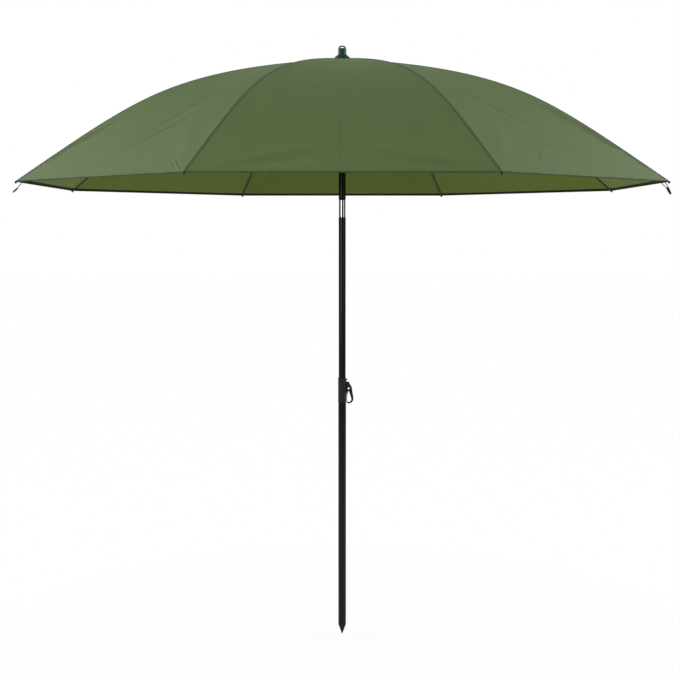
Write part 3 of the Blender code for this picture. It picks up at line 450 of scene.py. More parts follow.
def crease_line(cloth, metres, wander, start, end, width):
    """A crease's height, 1 on its middle and 0 beside it and past its ends."""
    way = Vector(end) - Vector(start)
    own = cloth.node("ShaderNodeMapping", {"vector_type": "TEXTURE"}, {
        "Vector": metres, "Location": (*start, 0.0),
        "Rotation": (0.0, 0.0, math.atan2(way.y, way.x)), "Scale": (way.length, width, 1.0)})
    along = cloth.part_of(own, 0)
    aside = cloth.part_of(own, 1) + wander
    return (1.0 - aside * aside).clamped() * ((along - along * along) * 4.0).clamped()


def nylon(name, through, dark, light, creases=(), stitches=False):
    """Cloth that lets through a share of the light; with stitches, a seam's two rows and a
    painted shadow along its fold.
    """
    cloth = Finish(name)
    metres = cloth.place("UV")
    across, along = cloth.part_of(metres, 0), cloth.part_of(metres, 1)
    turn = 2 * math.pi / THREAD
    weave = (across * turn).maths("SINE") * (along * turn).maths("SINE")
    clouds = cloth.noise(metres, scale=3.2, detail=5.0)
    wander = (cloth.noise(metres, scale=11.0, detail=2.0) - 0.5) * WANDER
    puckers = cloth.noise(metres, scale=18.0, detail=3.0)
    height = weave * WEAVE_HEIGHT + puckers * PUCKER_HEIGHT
    shade = clouds * 0.8 + weave * 0.08 + 0.1
    colour = cloth.blend(shade.clamped(), dark, light)
    for start, end, width, depth in creases:
        line = crease_line(cloth, metres, wander, start, end, width)
        height = height + line * depth
        # Each crease's line is also blended to a darker olive: painted shade in the crease, on
        # top of its real relief.
        wear_and_crease_shade = tuple(part * (1.0 - CREASE_SHADE * abs(depth)) for part in light)
        colour = cloth.blend(line * CREASE_SHADE, colour, wear_and_crease_shade)
    if stitches:
        aside = across.maths("ABSOLUTE")
        row = 1.0 - ((aside - SEAM_STITCH).maths("ABSOLUTE") * (1 / STITCH_WIDTH)).clamped()
        dash = ((along * (2 * math.pi / STITCH_LENGTH)).maths("SINE") * 4.0).clamped()
        colour = cloth.blend(row * dash * 0.25, colour, SEWING_THREAD)
        # The seam's middle, along its fold, is darkened more towards the hem: a painted shadow.
        fold = (1.0 - aside * (1 / SEAM_FOLD)).clamped() * (along * 0.50 + 0.12)
        colour = cloth.blend(fold.clamped(), colour, SEAM_FOLD_SHADOW)
        height = height + row * (dash * 0.3 - 0.2)
    relief = cloth.bump(height, distance=0.0013, strength=0.9)
    front = cloth.node("ShaderNodeBsdfPrincipled", {}, {
        "Base Color": colour,
        "Roughness": clouds * 0.08 + 0.58,
        "Specular IOR Level": SEAM_GLOSS if stitches else CLOTH_GLOSS,
        "Sheen Weight": 0.03,
        "Sheen Roughness": 0.5,
        "Normal": relief,
    })
    behind = cloth.node("ShaderNodeBsdfTranslucent", {}, {"Color": DYED_LIGHT, "Normal": relief})
    return cloth.surface(cloth.node("ShaderNodeMixShader", {}, {0: through, 1: front, 2: behind}))


OLIVE_DARK = (0.068, 0.109, 0.042)
OLIVE_LIGHT = (0.081, 0.129, 0.052)
CANOPY_NYLON = {word: nylon(f"canopy_nylon_{word}", THROUGH, OLIVE_DARK, OLIVE_LIGHT, creases)
                for word, creases in CREASES.items()}
# The cloth's inside is a darker, yellower copy of the olive: painted shade for the canopy's
# shaded underside.
SHADED_INSIDE = nylon("canopy_lining", THROUGH, (0.028, 0.046, 0.006), (0.036, 0.058, 0.009))
HEM_NYLON = nylon("hem_nylon", THROUGH_DOUBLE, (0.106, 0.140, 0.062), (0.120, 0.158, 0.072))
SEAM_NYLON = nylon("seam_nylon", THROUGH_DOUBLE, (0.064, 0.100, 0.038), (0.076, 0.119, 0.047),
                   stitches=True)
print("cloth finishes:", len(CANOPY_NYLON), "for the panels,", HEM_NYLON.name, SEAM_NYLON.name)

# %% [markdown]
# ## Tape and cord
#
# The hem is bound inside with tape, a ribbed weave with no light through it, whose near-black
# colour is painted shade for the inside of the doubled hem. Its outer edge has a narrow line of a
# greener tape. The guy cords are braided: two sets of strands wind round the cord in opposite
# directions, which in the UV map is two slanting waves multiplied together.

# %% Tape and cord finishes
TAPE_RIB = 0.0012
BRAID_STRANDS, BRAID_LENGTH = 4, 0.004


def ribbed(name, dark, light):
    """A woven tape with ribs across it."""
    tape = Finish(name)
    metres = tape.place("UV")
    ribs = (tape.part_of(metres, 0) * (2 * math.pi / TAPE_RIB)).maths("SINE")
    fluff = tape.noise(metres, scale=300.0, detail=3.0)
    return tape.painted({
        "Base Color": tape.blend(fluff, dark, light),
        "Roughness": fluff * 0.1 + 0.85,
        "Specular IOR Level": 0.15,
        "Normal": tape.bump(ribs * 0.5 + fluff * 0.5, distance=0.0003, strength=0.6),
    })


def braided():
    cord = Finish("braided_cord")
    metres = cord.place("UV")
    around = cord.part_of(metres, 0) * (2 * math.pi * BRAID_STRANDS)
    along = cord.part_of(metres, 1) * (2 * math.pi / BRAID_LENGTH)
    strands = (around + along).maths("SINE") * (around - along).maths("SINE")
    lint = cord.noise(cord.place(), scale=900.0, detail=3.0)
    return cord.painted({
        "Base Color": cord.blend((strands * 0.4 + lint * 0.6).clamped(),
                                 (0.006, 0.006, 0.006), (0.040, 0.041, 0.040)),
        "Roughness": lint * 0.1 + 0.8,
        "Specular IOR Level": 0.25,
        "Normal": cord.bump(strands, distance=0.0003, strength=0.8),
    })


# The inner tape is near black: painted shade for the inside of the doubled hem.
SHADED_HEM_TAPE = ribbed("dark_tape", (0.004, 0.005, 0.002), (0.009, 0.011, 0.004))
EDGE_TAPE = ribbed("edge_tape", (0.019, 0.027, 0.009), (0.030, 0.041, 0.014))
BRAIDED_CORD = braided()
print("trim finishes:", SHADED_HEM_TAPE.name, EDGE_TAPE.name, BRAIDED_CORD.name)

# %% [markdown]
# ## Turning and sweeping a shape
#
# Most of the umbrella is round, so two ways of shaping do nearly all of it. A profile spun
# about the pole's axis makes tubes, caps and hubs. A ring that is extruded from point to
# point along a path makes ribs, wires and cords.

# %% Spinning a profile and rounding its corners
MERGE = 0.000002
SHARP_CORNER = math.radians(30)
QUARTER = math.pi / 2


def spun(profile, steps=64, closed=False):
    """A bmesh turned about Z from (radius, height) points."""
    bm = bmesh.new()
    verts = [bm.verts.new((radius, 0.0, height)) for radius, height in profile]
    pairs = list(zip(verts, verts[1:])) + ([(verts[-1], verts[0])] if closed else [])
    edges = [bm.edges.new(pair) for pair in pairs]
    bmesh.ops.spin(bm, geom=verts + edges, cent=(0, 0, 0), axis=(0, 0, 1),
                   angle=2 * math.pi, steps=steps, use_merge=True)
    bmesh.ops.remove_doubles(bm, verts=bm.verts, dist=MERGE)
    bmesh.ops.recalc_face_normals(bm, faces=bm.faces)
    return bm


def soften(bm, width, segments=2):
    """Rounds every sharp edge."""
    sharp = [edge for edge in bm.edges
             if edge.is_manifold and edge.calc_face_angle(0.0) > SHARP_CORNER]
    bmesh.ops.bevel(bm, geom=sharp, offset=width, segments=segments, profile=0.5,
                    affect="EDGES", material=-1, clamp_overlap=True)
    return bm


print("corners over", round(math.degrees(SHARP_CORNER)), "degrees are rounded")


# %% Sweeping a ring along a path
def swept(path, radius, across, sides=12):
    """A round bar along a path; across points sideways at its start.

    In its UV map, x is the share of a turn round the bar and y the metres along it.
    """
    path = [Vector(point) for point in path]
    across = Vector(across)
    size = Matrix.Diagonal((radius, radius, radius, 1))
    places, gone = [], [0.0]
    for i, point in enumerate(path):
        ahead = path[min(i + 1, len(path) - 1)] - path[max(i - 1, 0)]
        ahead.normalize()
        across = (across - ahead * across.dot(ahead)).normalized()
        turn = Matrix((across, ahead.cross(across), ahead)).transposed().to_4x4()
        places.append(Matrix.Translation(point) @ turn @ size)
        if i:
            gone.append(gone[-1] + (point - path[i - 1]).length)
    bm = bmesh.new()
    ring = bmesh.ops.create_circle(bm, segments=sides, radius=1.0, cap_ends=False,
                                   matrix=places[0])["verts"]
    rings = [ring]
    edges = list(bm.edges)
    for before, after in zip(places, places[1:]):
        made = bmesh.ops.extrude_edge_only(bm, edges=edges)["geom"]
        ring = [item for item in made if isinstance(item, bmesh.types.BMVert)]
        edges = [item for item in made if isinstance(item, bmesh.types.BMEdge)]
        bmesh.ops.transform(bm, matrix=after @ before.inverted(), verts=ring)
        rings.append(ring)
    for ring in (rings[0], rings[-1]):
        bmesh.ops.contextual_create(bm, geom=ring)
    bmesh.ops.recalc_face_normals(bm, faces=bm.faces)
    where = {vert: i for i, ring in enumerate(rings) for vert in ring}
    layer = bm.loops.layers.uv.new("UVMap")
    for face in bm.faces:
        turns = []
        for loop in face.loops:
            i = where[loop.vert]
            local = places[i].inverted() @ loop.vert.co
            turns.append(math.atan2(local.y, local.x) / (2 * math.pi) % 1.0)
        wraps = max(turns) - min(turns) > 0.5
        for loop, turn in zip(face.loops, turns):
            loop[layer].uv = (turn + 1 if wraps and turn < 0.5 else turn,
                              gone[where[loop.vert]])
    return bm


def smooth_path(points, count):
    """Points spread along a smooth curve through the given ones."""
    points = [Vector(p) for p in points]
    path = []
    for step in range(count):
        along = step * (len(points) - 1) / (count - 1)
        i = min(int(along), len(points) - 2)
        t = along - i
        b, c = points[i], points[i + 1]
        a = points[i - 1] if i > 0 else 2 * b - c
        d = points[i + 2] if i + 2 < len(points) else 2 * c - b
        bend = (2 * a - 5 * b + 4 * c - d) * t**2 + (3 * b - a - 3 * c + d) * t**3
        path.append(b + ((c - a) * t + bend) / 2)
    return path


# %% Joining, moving and blocks
def added(bm, *others):
    """Puts other bmeshes' shapes into bm."""
    for other in others:
        spare = bpy.data.meshes.new("spare")
        other.to_mesh(spare)
        other.free()
        bm.from_mesh(spare)
        bpy.data.meshes.remove(spare)
    return bm


def moved(bm, matrix):
    bmesh.ops.transform(bm, matrix=matrix, verts=bm.verts)
    return bm


def turned(angle, axis, place=(0.0, 0.0, 0.0)):
    """A turn about an axis, and then a move to a place."""
    return Matrix.Translation(place) @ Matrix.Rotation(angle, 4, axis)


def block(low, high):
    """A box from its lowest corner to its highest."""
    low, high = Vector(low), Vector(high)
    bm = bmesh.new()
    bmesh.ops.create_cube(bm, size=1.0)
    return moved(bm, Matrix.Translation((low + high) / 2) @ Matrix.Diagonal((*(high - low), 1)))


# %% [markdown]
# ## Flat plates, cuts and finished pieces
#
# A flat plate with holes is easiest as a filled 2D curve, which takes its thickness and its
# rounded edges as settings and is then turned into a mesh. A Boolean cuts slots. The last
# helper turns a shape into an object, gives it the finish of its slot, smooths its shading
# while flat faces stay flat, and hangs it on its body.

# %% Plates from filled curves
def plate(outlines, thickness, rounding):
    """A flat plate in the XZ plane with rounded edges; outlines after the first are holes."""
    curve = bpy.data.curves.new("plate", "CURVE")
    curve.dimensions = "2D"
    curve.fill_mode = "BOTH"
    curve.extrude = thickness / 2 - rounding
    curve.bevel_depth = rounding
    curve.bevel_resolution = 3
    curve.offset = -rounding
    for outline in outlines:
        spline = curve.splines.new("POLY")
        spline.points.add(len(outline) - 1)
        for point, (out, up) in zip(spline.points, outline):
            point.co = (out, up, 0.0, 1.0)
        spline.use_cyclic_u = True
    drawn = bpy.data.objects.new("plate", curve)
    mesh = bpy.data.meshes.new_from_object(drawn)
    bpy.data.objects.remove(drawn)
    bm = bmesh.new()
    bm.from_mesh(mesh)
    bmesh.ops.remove_doubles(bm, verts=bm.verts, dist=MERGE)
    return moved(bm, turned(QUARTER, "X"))


# %% Cutting, and finishing a piece
FINISHES = {"black_tube": BLACK_COAT, "bright_plate": BRIGHT_PLATE,
            "black_plastic": BLACK_PLASTIC, "green_plastic": GREEN_PLASTIC,
            "black_fibre": GLASS_FIBRE, "cord_yarn": BRAIDED_CORD}


def applied(made):
    """Turns a piece's modifiers into plain mesh."""
    bpy.context.view_layer.update()
    shape = made.evaluated_get(bpy.context.evaluated_depsgraph_get())
    mesh = bpy.data.meshes.new_from_object(shape)
    made.modifiers.clear()
    made.data = mesh


def carved(bm, *cutters):
    """Cuts shapes out of a bmesh with a Boolean."""
    halves = []
    for name, shape in (("whole", bm), ("cutter", added(bmesh.new(), *cutters))):
        mesh = bpy.data.meshes.new(name)
        shape.to_mesh(mesh)
        shape.free()
        halves.append(linked(name, mesh))
    whole, cutter = halves
    boolean = whole.modifiers.new("carve", "BOOLEAN")
    boolean.operation = "DIFFERENCE"
    boolean.object = cutter
    applied(whole)
    result = bmesh.new()
    result.from_mesh(whole.data)
    for half in halves:
        bpy.data.objects.remove(half)
    return result


def piece(name, bm, body, slot, replaces=(), sharp=math.radians(38)):
    """A finished object from a bmesh, shaded smooth but for its sharp edges, on its body."""
    mesh = bpy.data.meshes.new(name)
    bm.to_mesh(mesh)
    bm.free()
    mesh.materials.append(FINISHES[slot])
    mesh.shade_smooth()
    mesh.set_sharp_from_angle(angle=sharp)
    made = linked(name, mesh)
    weighted = made.modifiers.new("flat faces stay flat", "WEIGHTED_NORMAL")
    weighted.keep_sharp = True
    applied(made)
    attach(made, body)
    if replaces:
        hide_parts(*replaces)
    return made


# %% [markdown]
# ## The guy cords
#
# Two corners keep a short guy cord: at the left a single tail that ends in a knot, at the
# right a loop tied off with a bigger knot. Each hangs from a real point, the underside of its
# rib's end, and its route is a handful of points in the rib's own plane, with a smooth curve
# through them.

# %% Cord routes, out from the rib's end and up from it
CORD_RADIUS = 0.00125
LEFT_CORD_ROUTE = (
    (-0.0225, 0.0118), (-0.0223, 0.0080), (-0.0206, 0.0025), (-0.0172, -0.0035),
    (-0.0124, -0.0098), (-0.0068, -0.0162), (-0.0010, -0.0222), (0.0035, -0.0268),
    (0.0070, -0.0300),
)
RIGHT_CORD_ROUTE = (
    (-0.0285, 0.0158), (-0.0283, 0.0110), (-0.0262, 0.0020), (-0.0215, -0.0048),
    (-0.0152, -0.0110), (-0.0085, -0.0175), (-0.0030, -0.0245), (0.0000, -0.0262),
    (0.0012, -0.0235), (-0.0020, -0.0170), (-0.0066, -0.0095), (-0.0108, -0.0030),
    (-0.0135, 0.0015), (-0.0146, 0.0052),
)
TURN_POINTS = 20
KNOT_PITCH, KNOT_END, KNOT_LAP = 2.05, 0.45, 0.85


def in_rib(k, points):
    """World points from places in rib k's plane, out and up from its end."""
    return [rib_frame(k) @ (rib_end + Vector((out, 0.0, up))) for out, up in points]


def knot(name, k, top, slope, radius, length):
    """A cord's knot: the cord wound round itself in a barrel with drawn-in ends."""
    turns = round(length / (KNOT_PITCH * CORD_RADIUS)) - 1
    coil = []
    for i in range(turns * TURN_POINTS + 1):
        share = i / (turns * TURN_POINTS)
        swell = KNOT_END + (1 - KNOT_END) * math.sin(math.pi * share) ** 0.5
        reach = (radius - CORD_RADIUS) * swell
        angle = 2 * math.pi * turns * share
        coil.append((reach * math.cos(angle), reach * math.sin(angle),
                     -CORD_RADIUS - (length - 2 * CORD_RADIUS) * share))
    place = rib_frame(k) @ Matrix.Translation(rib_end + Vector((top[0], 0.0, top[1])))
    bm = moved(swept(coil, CORD_RADIUS, (0, 0, 1), sides=10),
               place @ turned(slope - QUARTER, "Y"))
    return piece(name, bm, f"rib_{k}", "cord_yarn")


def guy_cord(name, k, route, count, end):
    """A cord, in place of its CAD tube."""
    path = in_rib(k, [(p.x, p.y) for p in smooth_path([(*p, 0.0) for p in route], count)])
    across = rib_frame(k).to_3x3() @ Vector((0.0, 1.0, 0.0))
    made = piece(name, swept(path, CORD_RADIUS, across), f"rib_{k}", "cord_yarn", replaces=[end])


LEFT_KNOT_SLOPE, LEFT_KNOT_RADIUS, LEFT_KNOT_LENGTH = math.radians(43.0), 0.0030, 0.023
RIGHT_KNOT_SLOPE, RIGHT_KNOT_RADIUS, RIGHT_KNOT_LENGTH = math.radians(59.0), 0.0044, 0.027
RIGHT_KNOT_TOP = (-0.0078, -0.0150)
LEFT_STEPS, RIGHT_STEPS = 36, 60
LEFT_RIB, RIGHT_RIB = 5, 8
left_rise = KNOT_LAP * LEFT_KNOT_LENGTH
left_top = (LEFT_CORD_ROUTE[-1][0] - math.cos(LEFT_KNOT_SLOPE) * left_rise,
            LEFT_CORD_ROUTE[-1][1] + math.sin(LEFT_KNOT_SLOPE) * left_rise)
left_knot = knot("guy_knot_left", LEFT_RIB, left_top, LEFT_KNOT_SLOPE, LEFT_KNOT_RADIUS,
                 LEFT_KNOT_LENGTH)
guy_cord("guy_line_left", LEFT_RIB, LEFT_CORD_ROUTE, LEFT_STEPS, "guy_cord_left")
right_knot = knot("guy_knot_right", RIGHT_RIB, RIGHT_KNOT_TOP, RIGHT_KNOT_SLOPE,
                  RIGHT_KNOT_RADIUS, RIGHT_KNOT_LENGTH)
guy_cord("guy_line_right", RIGHT_RIB, RIGHT_CORD_ROUTE, RIGHT_STEPS, "guy_cord_right")

# %% [markdown]
# ## The pole
#
# Three tubes stand in a line: the wide one in the ground, the mast that slides in it, and
# the upper tube over the tilt joint. Each is a closed profile spun into a real tube with a
# bore, because its open end shows when the umbrella is folded or tilted. The rims get a
# small bevel that catches the light.

# %% Tubes and spike
TUBE_WALL = 0.0012
RIM = 0.0003
lower_radius, lower_foot, lower_top = round_part("lower_tube")
mast_radius, mast_foot, mast_top = round_part("mast_tube")
_, upper_foot, upper_top = round_part("upper_tube")


def tube(radius, foot, top):
    bore = radius - TUBE_WALL
    rim = [(radius, top), (radius, foot), (bore, foot), (bore, top)]
    return soften(spun(rim, 72, closed=True), RIM)


piece("lower_pole", tube(lower_radius, lower_foot, lower_top), "base", "black_tube",
      ["lower_tube"])
piece("mast_pole", tube(mast_radius, mast_foot, mast_top), "mast", "black_tube", ["mast_tube"])

SPIKE_TIP_RADIUS, SPIKE_TIP_RISE = 0.0012, 0.0008
SPIKE_NECK, SPIKE_NECK_DROP = 0.93, 0.0022
spike_low, spike_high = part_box("ground_spike")
spike = spun([
    (0.0, spike_high.z),
    (lower_radius - TUBE_WALL - RIM, spike_high.z),
    (lower_radius - TUBE_WALL - RIM, lower_foot - RIM),
    (lower_radius, lower_foot - RIM),
    (lower_radius * SPIKE_NECK, lower_foot - SPIKE_NECK_DROP),
    (SPIKE_TIP_RADIUS, spike_low.z + SPIKE_TIP_RISE),
    (0.0, spike_low.z),
])
piece("spike_point", soften(spike, RIM), "base", "black_tube", ["ground_spike"])
print("pole radii", round(lower_radius, 4), round(mast_radius, 4))

# %% [markdown]
# The upper tube has a slot in its front for the runner's catch. A Boolean cuts it, and it
# needs both shapes closed, so the cutter is a plain block, which is thrown away afterwards.

# %% Upper tube with its slot
catch_low, catch_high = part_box("runner_catch")
CATCH_HALF = 0.0022
SLOT_GAP = 0.0003
FLANGE_LAP = 0.0025
slot_low = catch_low.z + FLANGE_LAP - SLOT_GAP
slot_high = catch_high.z - FLANGE_LAP + SLOT_GAP
slot = block((-CATCH_HALF - SLOT_GAP, -2 * mast_radius, slot_low),
             (CATCH_HALF + SLOT_GAP, -mast_radius / 2, slot_high))
piece("upper_pole", carved(tube(mast_radius, upper_foot, upper_top), slot), "upper", "black_tube",
      ["upper_tube"])
print("catch's slot from", round(slot_low, 4), "to", round(slot_high, 4))

# %% [markdown]
# ## Clamp collar and flip lever
#
# A moulded collar caps the lower tube. It has two ears that hold the lever's pin, with long
# cheeks below them that the closed lever lies between, and a small screw above them. The
# collar's outside is one spun profile with a bead at each end. The lever is a flat plate with
# a teardrop for a finger and a smaller hole above it; its outline is drawn with a few points
# and a smooth closed curve, filled, and given its thickness.

# %% Collar
_, collar_foot, collar_top = round_part("clamp_collar")
COLLAR_RADIUS, COLLAR_GAP, COLLAR_LIP = 0.0148, 0.0003, 0.0055
BEAD_PROUD, BEAD_EDGE, TOP_BEAD, FOOT_BEAD = 0.0003, 0.0006, 0.0030, 0.0040
FINE_EDGE = 0.0002
neck = COLLAR_RADIUS - BEAD_PROUD
band = spun([
    (mast_radius + COLLAR_GAP, collar_top),
    (COLLAR_RADIUS - BEAD_EDGE, collar_top),
    (COLLAR_RADIUS, collar_top - BEAD_EDGE),
    (COLLAR_RADIUS, collar_top - TOP_BEAD),
    (neck, collar_top - TOP_BEAD - BEAD_EDGE),
    (neck, collar_foot + FOOT_BEAD + BEAD_EDGE),
    (COLLAR_RADIUS, collar_foot + FOOT_BEAD),
    (COLLAR_RADIUS, collar_foot + BEAD_EDGE),
    (COLLAR_RADIUS - BEAD_EDGE, collar_foot),
    (lower_radius + COLLAR_GAP, collar_foot),
    (lower_radius + COLLAR_GAP, collar_top - COLLAR_LIP),
    (mast_radius + COLLAR_GAP, collar_top - COLLAR_LIP),
], 72, closed=True)
piece("collar_shell", soften(band, FINE_EDGE), "base", "black_plastic", ["clamp_collar"])

pin_x, _, pin_z = joints["clamp_flip"]["pos_m"]
EAR_INNER, EAR_THICKNESS, EAR_RADIUS = 0.0028, 0.0025, 0.0048
EAR_ROUNDING, EAR_SINK = 0.0005, 0.0008
ARC_POINTS, HOLE_END = 24, 345


def arc(out, up, radius, start=0, end=HOLE_END):
    """Points (out, up) along an arc, its angles in degrees; without them, round a hole."""
    angles = [math.radians(start + (end - start) * i / (ARC_POINTS - 1))
              for i in range(ARC_POINTS)]
    return [(out + radius * math.cos(a), up + radius * math.sin(a)) for a in angles]


ear_root = COLLAR_RADIUS - EAR_SINK
CHEEK_OUT, CHEEK_LENGTH, CHEEK_SLANT = 0.0168, 0.056, 0.006
ear_edge = arc(pin_x, pin_z, EAR_RADIUS, -75, 90) + [
    (ear_root, pin_z + EAR_RADIUS), (ear_root, collar_top - CHEEK_LENGTH),
    (CHEEK_OUT, collar_top - CHEEK_LENGTH + CHEEK_SLANT),
    (CHEEK_OUT, pin_z - EAR_RADIUS - CHEEK_SLANT)]
for hand, word in ((-1, "front"), (1, "back")):
    ear = plate([ear_edge], EAR_THICKNESS, EAR_ROUNDING)
    aside = hand * (EAR_INNER + EAR_THICKNESS / 2)
    piece(f"collar_ear_{word}", moved(ear, Matrix.Translation((0, aside, 0))), "base",
          "black_plastic")
print("collar from", round(collar_foot, 4), "to", round(collar_top, 4))

# %% Screw and pin
SCREW_HEAD, SCREW_CROWN, DOME_STEPS = 0.0038, 0.0012, 8
SCREW_SLOT, SCREW_SLOT_DEPTH = 0.00045, 0.001
PIN_RADIUS, PIN_HEAD, PIN_CAP, PIN_EDGE = 0.0015, 0.0024, 0.0008, 0.0001
DOME_SHARE, PIN_RISE = 0.7, 0.8


def headed(radius, half, head, cap, rise, steps):
    """A pin with a domed head at each end; rise is the share of its cap where it rounds off."""
    end = [(0.0, half + cap), (head * DOME_SHARE, half + cap * rise), (head, half),
           (radius, half)]
    return spun(end + [(out, -along) for out, along in reversed(end)], steps)


screw_low, screw_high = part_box("collar_screw")
screw_z = (screw_low.z + screw_high.z) / 2
dome = [(SCREW_HEAD * math.sin(a), screw_high.x - SCREW_CROWN * (1 - math.cos(a)))
        for a in (QUARTER * i / DOME_STEPS for i in range(DOME_STEPS + 1))]
head_foot = COLLAR_RADIUS + SLOT_GAP
screw = spun(dome + [(SCREW_HEAD, head_foot), (0.0, head_foot)], 40)
slit = block((-SCREW_SLOT, -2 * SCREW_HEAD, screw_high.x - SCREW_SLOT_DEPTH),
             (SCREW_SLOT, 2 * SCREW_HEAD, screw_high.x + SCREW_SLOT_DEPTH))
piece("screw_head", moved(carved(screw, slit), turned(QUARTER, "Y", (0, 0, screw_z))), "base",
      "black_plastic", ["collar_screw"])

pin_half = EAR_INNER + EAR_THICKNESS
pin = headed(PIN_RADIUS, pin_half, PIN_HEAD, PIN_CAP, PIN_RISE, 32)
piece("hinge_pin", moved(soften(pin, PIN_EDGE), turned(QUARTER, "X", (pin_x, 0, pin_z))), "base",
      "black_tube", ["clamp_pin"])
print("lever's pin at height", round(pin_z, 4))

# %% Flip lever, out from the axis and down from the collar's top
LEVER_OUTLINE = (
    (0.0178, 0.0150), (0.0212, 0.0144), (0.0243, 0.0158), (0.0270, 0.0212), (0.0305, 0.0268),
    (0.0338, 0.0322), (0.0352, 0.0400), (0.0370, 0.0520), (0.0396, 0.0670), (0.0402, 0.0760),
    (0.0376, 0.0845), (0.0312, 0.0902), (0.0230, 0.0925), (0.0172, 0.0905), (0.0152, 0.0850),
    (0.0151, 0.0720), (0.0151, 0.0560), (0.0151, 0.0400), (0.0151, 0.0280), (0.0153, 0.0190),
)
LEVER_HOLE = (
    (0.0226, 0.0478), (0.0252, 0.0520), (0.0282, 0.0610), (0.0316, 0.0712), (0.0328, 0.0775),
    (0.0304, 0.0836), (0.0250, 0.0868), (0.0197, 0.0868), (0.0175, 0.0828), (0.0174, 0.0740),
    (0.0186, 0.0630), (0.0205, 0.0530),
)
LEVER_EYE_OUT, LEVER_EYE_DOWN, LEVER_EYE_RADIUS = 0.0230, 0.0380, 0.0033
LEVER_THICKNESS, LEVER_ROUNDING = 0.0050, 0.0011
LEVER_STEPS = 6


def ring_through(points):
    """A smooth closed ring through points given as (out, down)."""
    wrapped = [points[-1], *points, points[0], points[1]]
    path = smooth_path([(*p, 0.0) for p in wrapped], LEVER_STEPS * (len(wrapped) - 1) + 1)
    ring = path[LEVER_STEPS:LEVER_STEPS * (len(points) + 1)]
    return [(p.x, collar_top - p.y) for p in ring]


lever = plate([
    ring_through(LEVER_OUTLINE),
    ring_through(LEVER_HOLE),
    arc(LEVER_EYE_OUT, collar_top - LEVER_EYE_DOWN, LEVER_EYE_RADIUS),
    arc(pin_x, pin_z, PIN_RADIUS + SLOT_GAP),
], LEVER_THICKNESS, LEVER_ROUNDING)
print("lever's holes:", 2 * LEVER_EYE_RADIUS, "and a teardrop of", len(LEVER_HOLE), "points")
piece("flip_lever", lever, "clamp_lever", "black_plastic", ["clamp_lever"],
      sharp=math.radians(60))

# %% [markdown]
# ## Tilt joint
#
# Between the mast and the upper tube sits the joint. When the canopy is upright only its
# bright plated sleeve shows. Lifting the canopy draws a rod out of the sleeve, and the rod's
# fork carries the knuckle on a cross pin. The fork is a turned rod with three blocks cut away
# one after another, which leaves flat cheeks just as milling does. The spring is a coil swept
# along a helix.

# %% Sleeve
SLEEVE_STEP, SLEEVE_WALL, SLEEVE_RIM, SLEEVE_FLOOR = 0.001, 0.0025, 0.0004, 0.004
STEM_BORE = 0.0045
_, sleeve_low, joint_top = round_part("tilt_sleeve")
sleeve_radius = mast_radius - SLEEVE_STEP
sleeve_bore = sleeve_radius - SLEEVE_WALL
plug_radius = mast_radius - TUBE_WALL - SLOT_GAP
sleeve = spun([
    (sleeve_radius, joint_top), (sleeve_radius, mast_top + SLOT_GAP),
    (plug_radius, mast_top + SLOT_GAP), (plug_radius, sleeve_low),
    (STEM_BORE, sleeve_low), (STEM_BORE, sleeve_low + SLEEVE_FLOOR),
    (sleeve_bore, sleeve_low + SLEEVE_FLOOR), (sleeve_bore, joint_top),
], 96, closed=True)
piece("plated_sleeve", soften(sleeve, SLEEVE_RIM, segments=3), "mast", "bright_plate",
      ["tilt_sleeve"])
print("sleeve from", round(sleeve_low, 4), "to", round(joint_top, 4))

# %% Rod with its fork, and the cross pin
STEM_RADIUS, STEM_HEAD, SPRING_LENGTH, STEM_SPARE = 0.004, 0.004, 0.060, 0.0043
FORK_HALF, CHEEK_HALF, FORK_DROP = 0.0033, 0.0055, 0.0072
CROSS_PIN_RADIUS = 0.002
rod_radius, rod_low, rod_top = round_part("tilt_rod")
beyond = 2 * rod_radius
head_top = rod_low + STEM_HEAD
stem_top = head_top + SPRING_LENGTH + STEM_SPARE
rod = soften(spun([
    (0.0, rod_top), (rod_radius, rod_top), (rod_radius, stem_top), (STEM_RADIUS, stem_top),
    (STEM_RADIUS, head_top), (rod_radius, head_top), (rod_radius, rod_low), (0.0, rod_low),
]), RIM)
for low, high in (((-FORK_HALF, -beyond), (FORK_HALF, beyond)),
                  ((-beyond, -beyond), (beyond, -CHEEK_HALF)),
                  ((-beyond, CHEEK_HALF), (beyond, beyond))):
    rod = carved(rod, block((*low, TILT_HEIGHT - FORK_DROP), (*high, rod_top + beyond)))
print("fork rod:", len(rod.faces), "faces")
piece("fork_rod", rod, "tilt_rod", "bright_plate", ["tilt_rod"])

pin_low, pin_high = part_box("tilt_pin")
cross_pin = spun([(0.0, pin_high.x), (CROSS_PIN_RADIUS, pin_high.x),
                  (CROSS_PIN_RADIUS, pin_low.x), (0.0, pin_low.x)], 32)
piece("cross_pin", moved(soften(cross_pin, RIM), turned(QUARTER, "Y", (0, 0, TILT_HEIGHT))),
      "tilt_rod", "bright_plate", ["tilt_pin"])

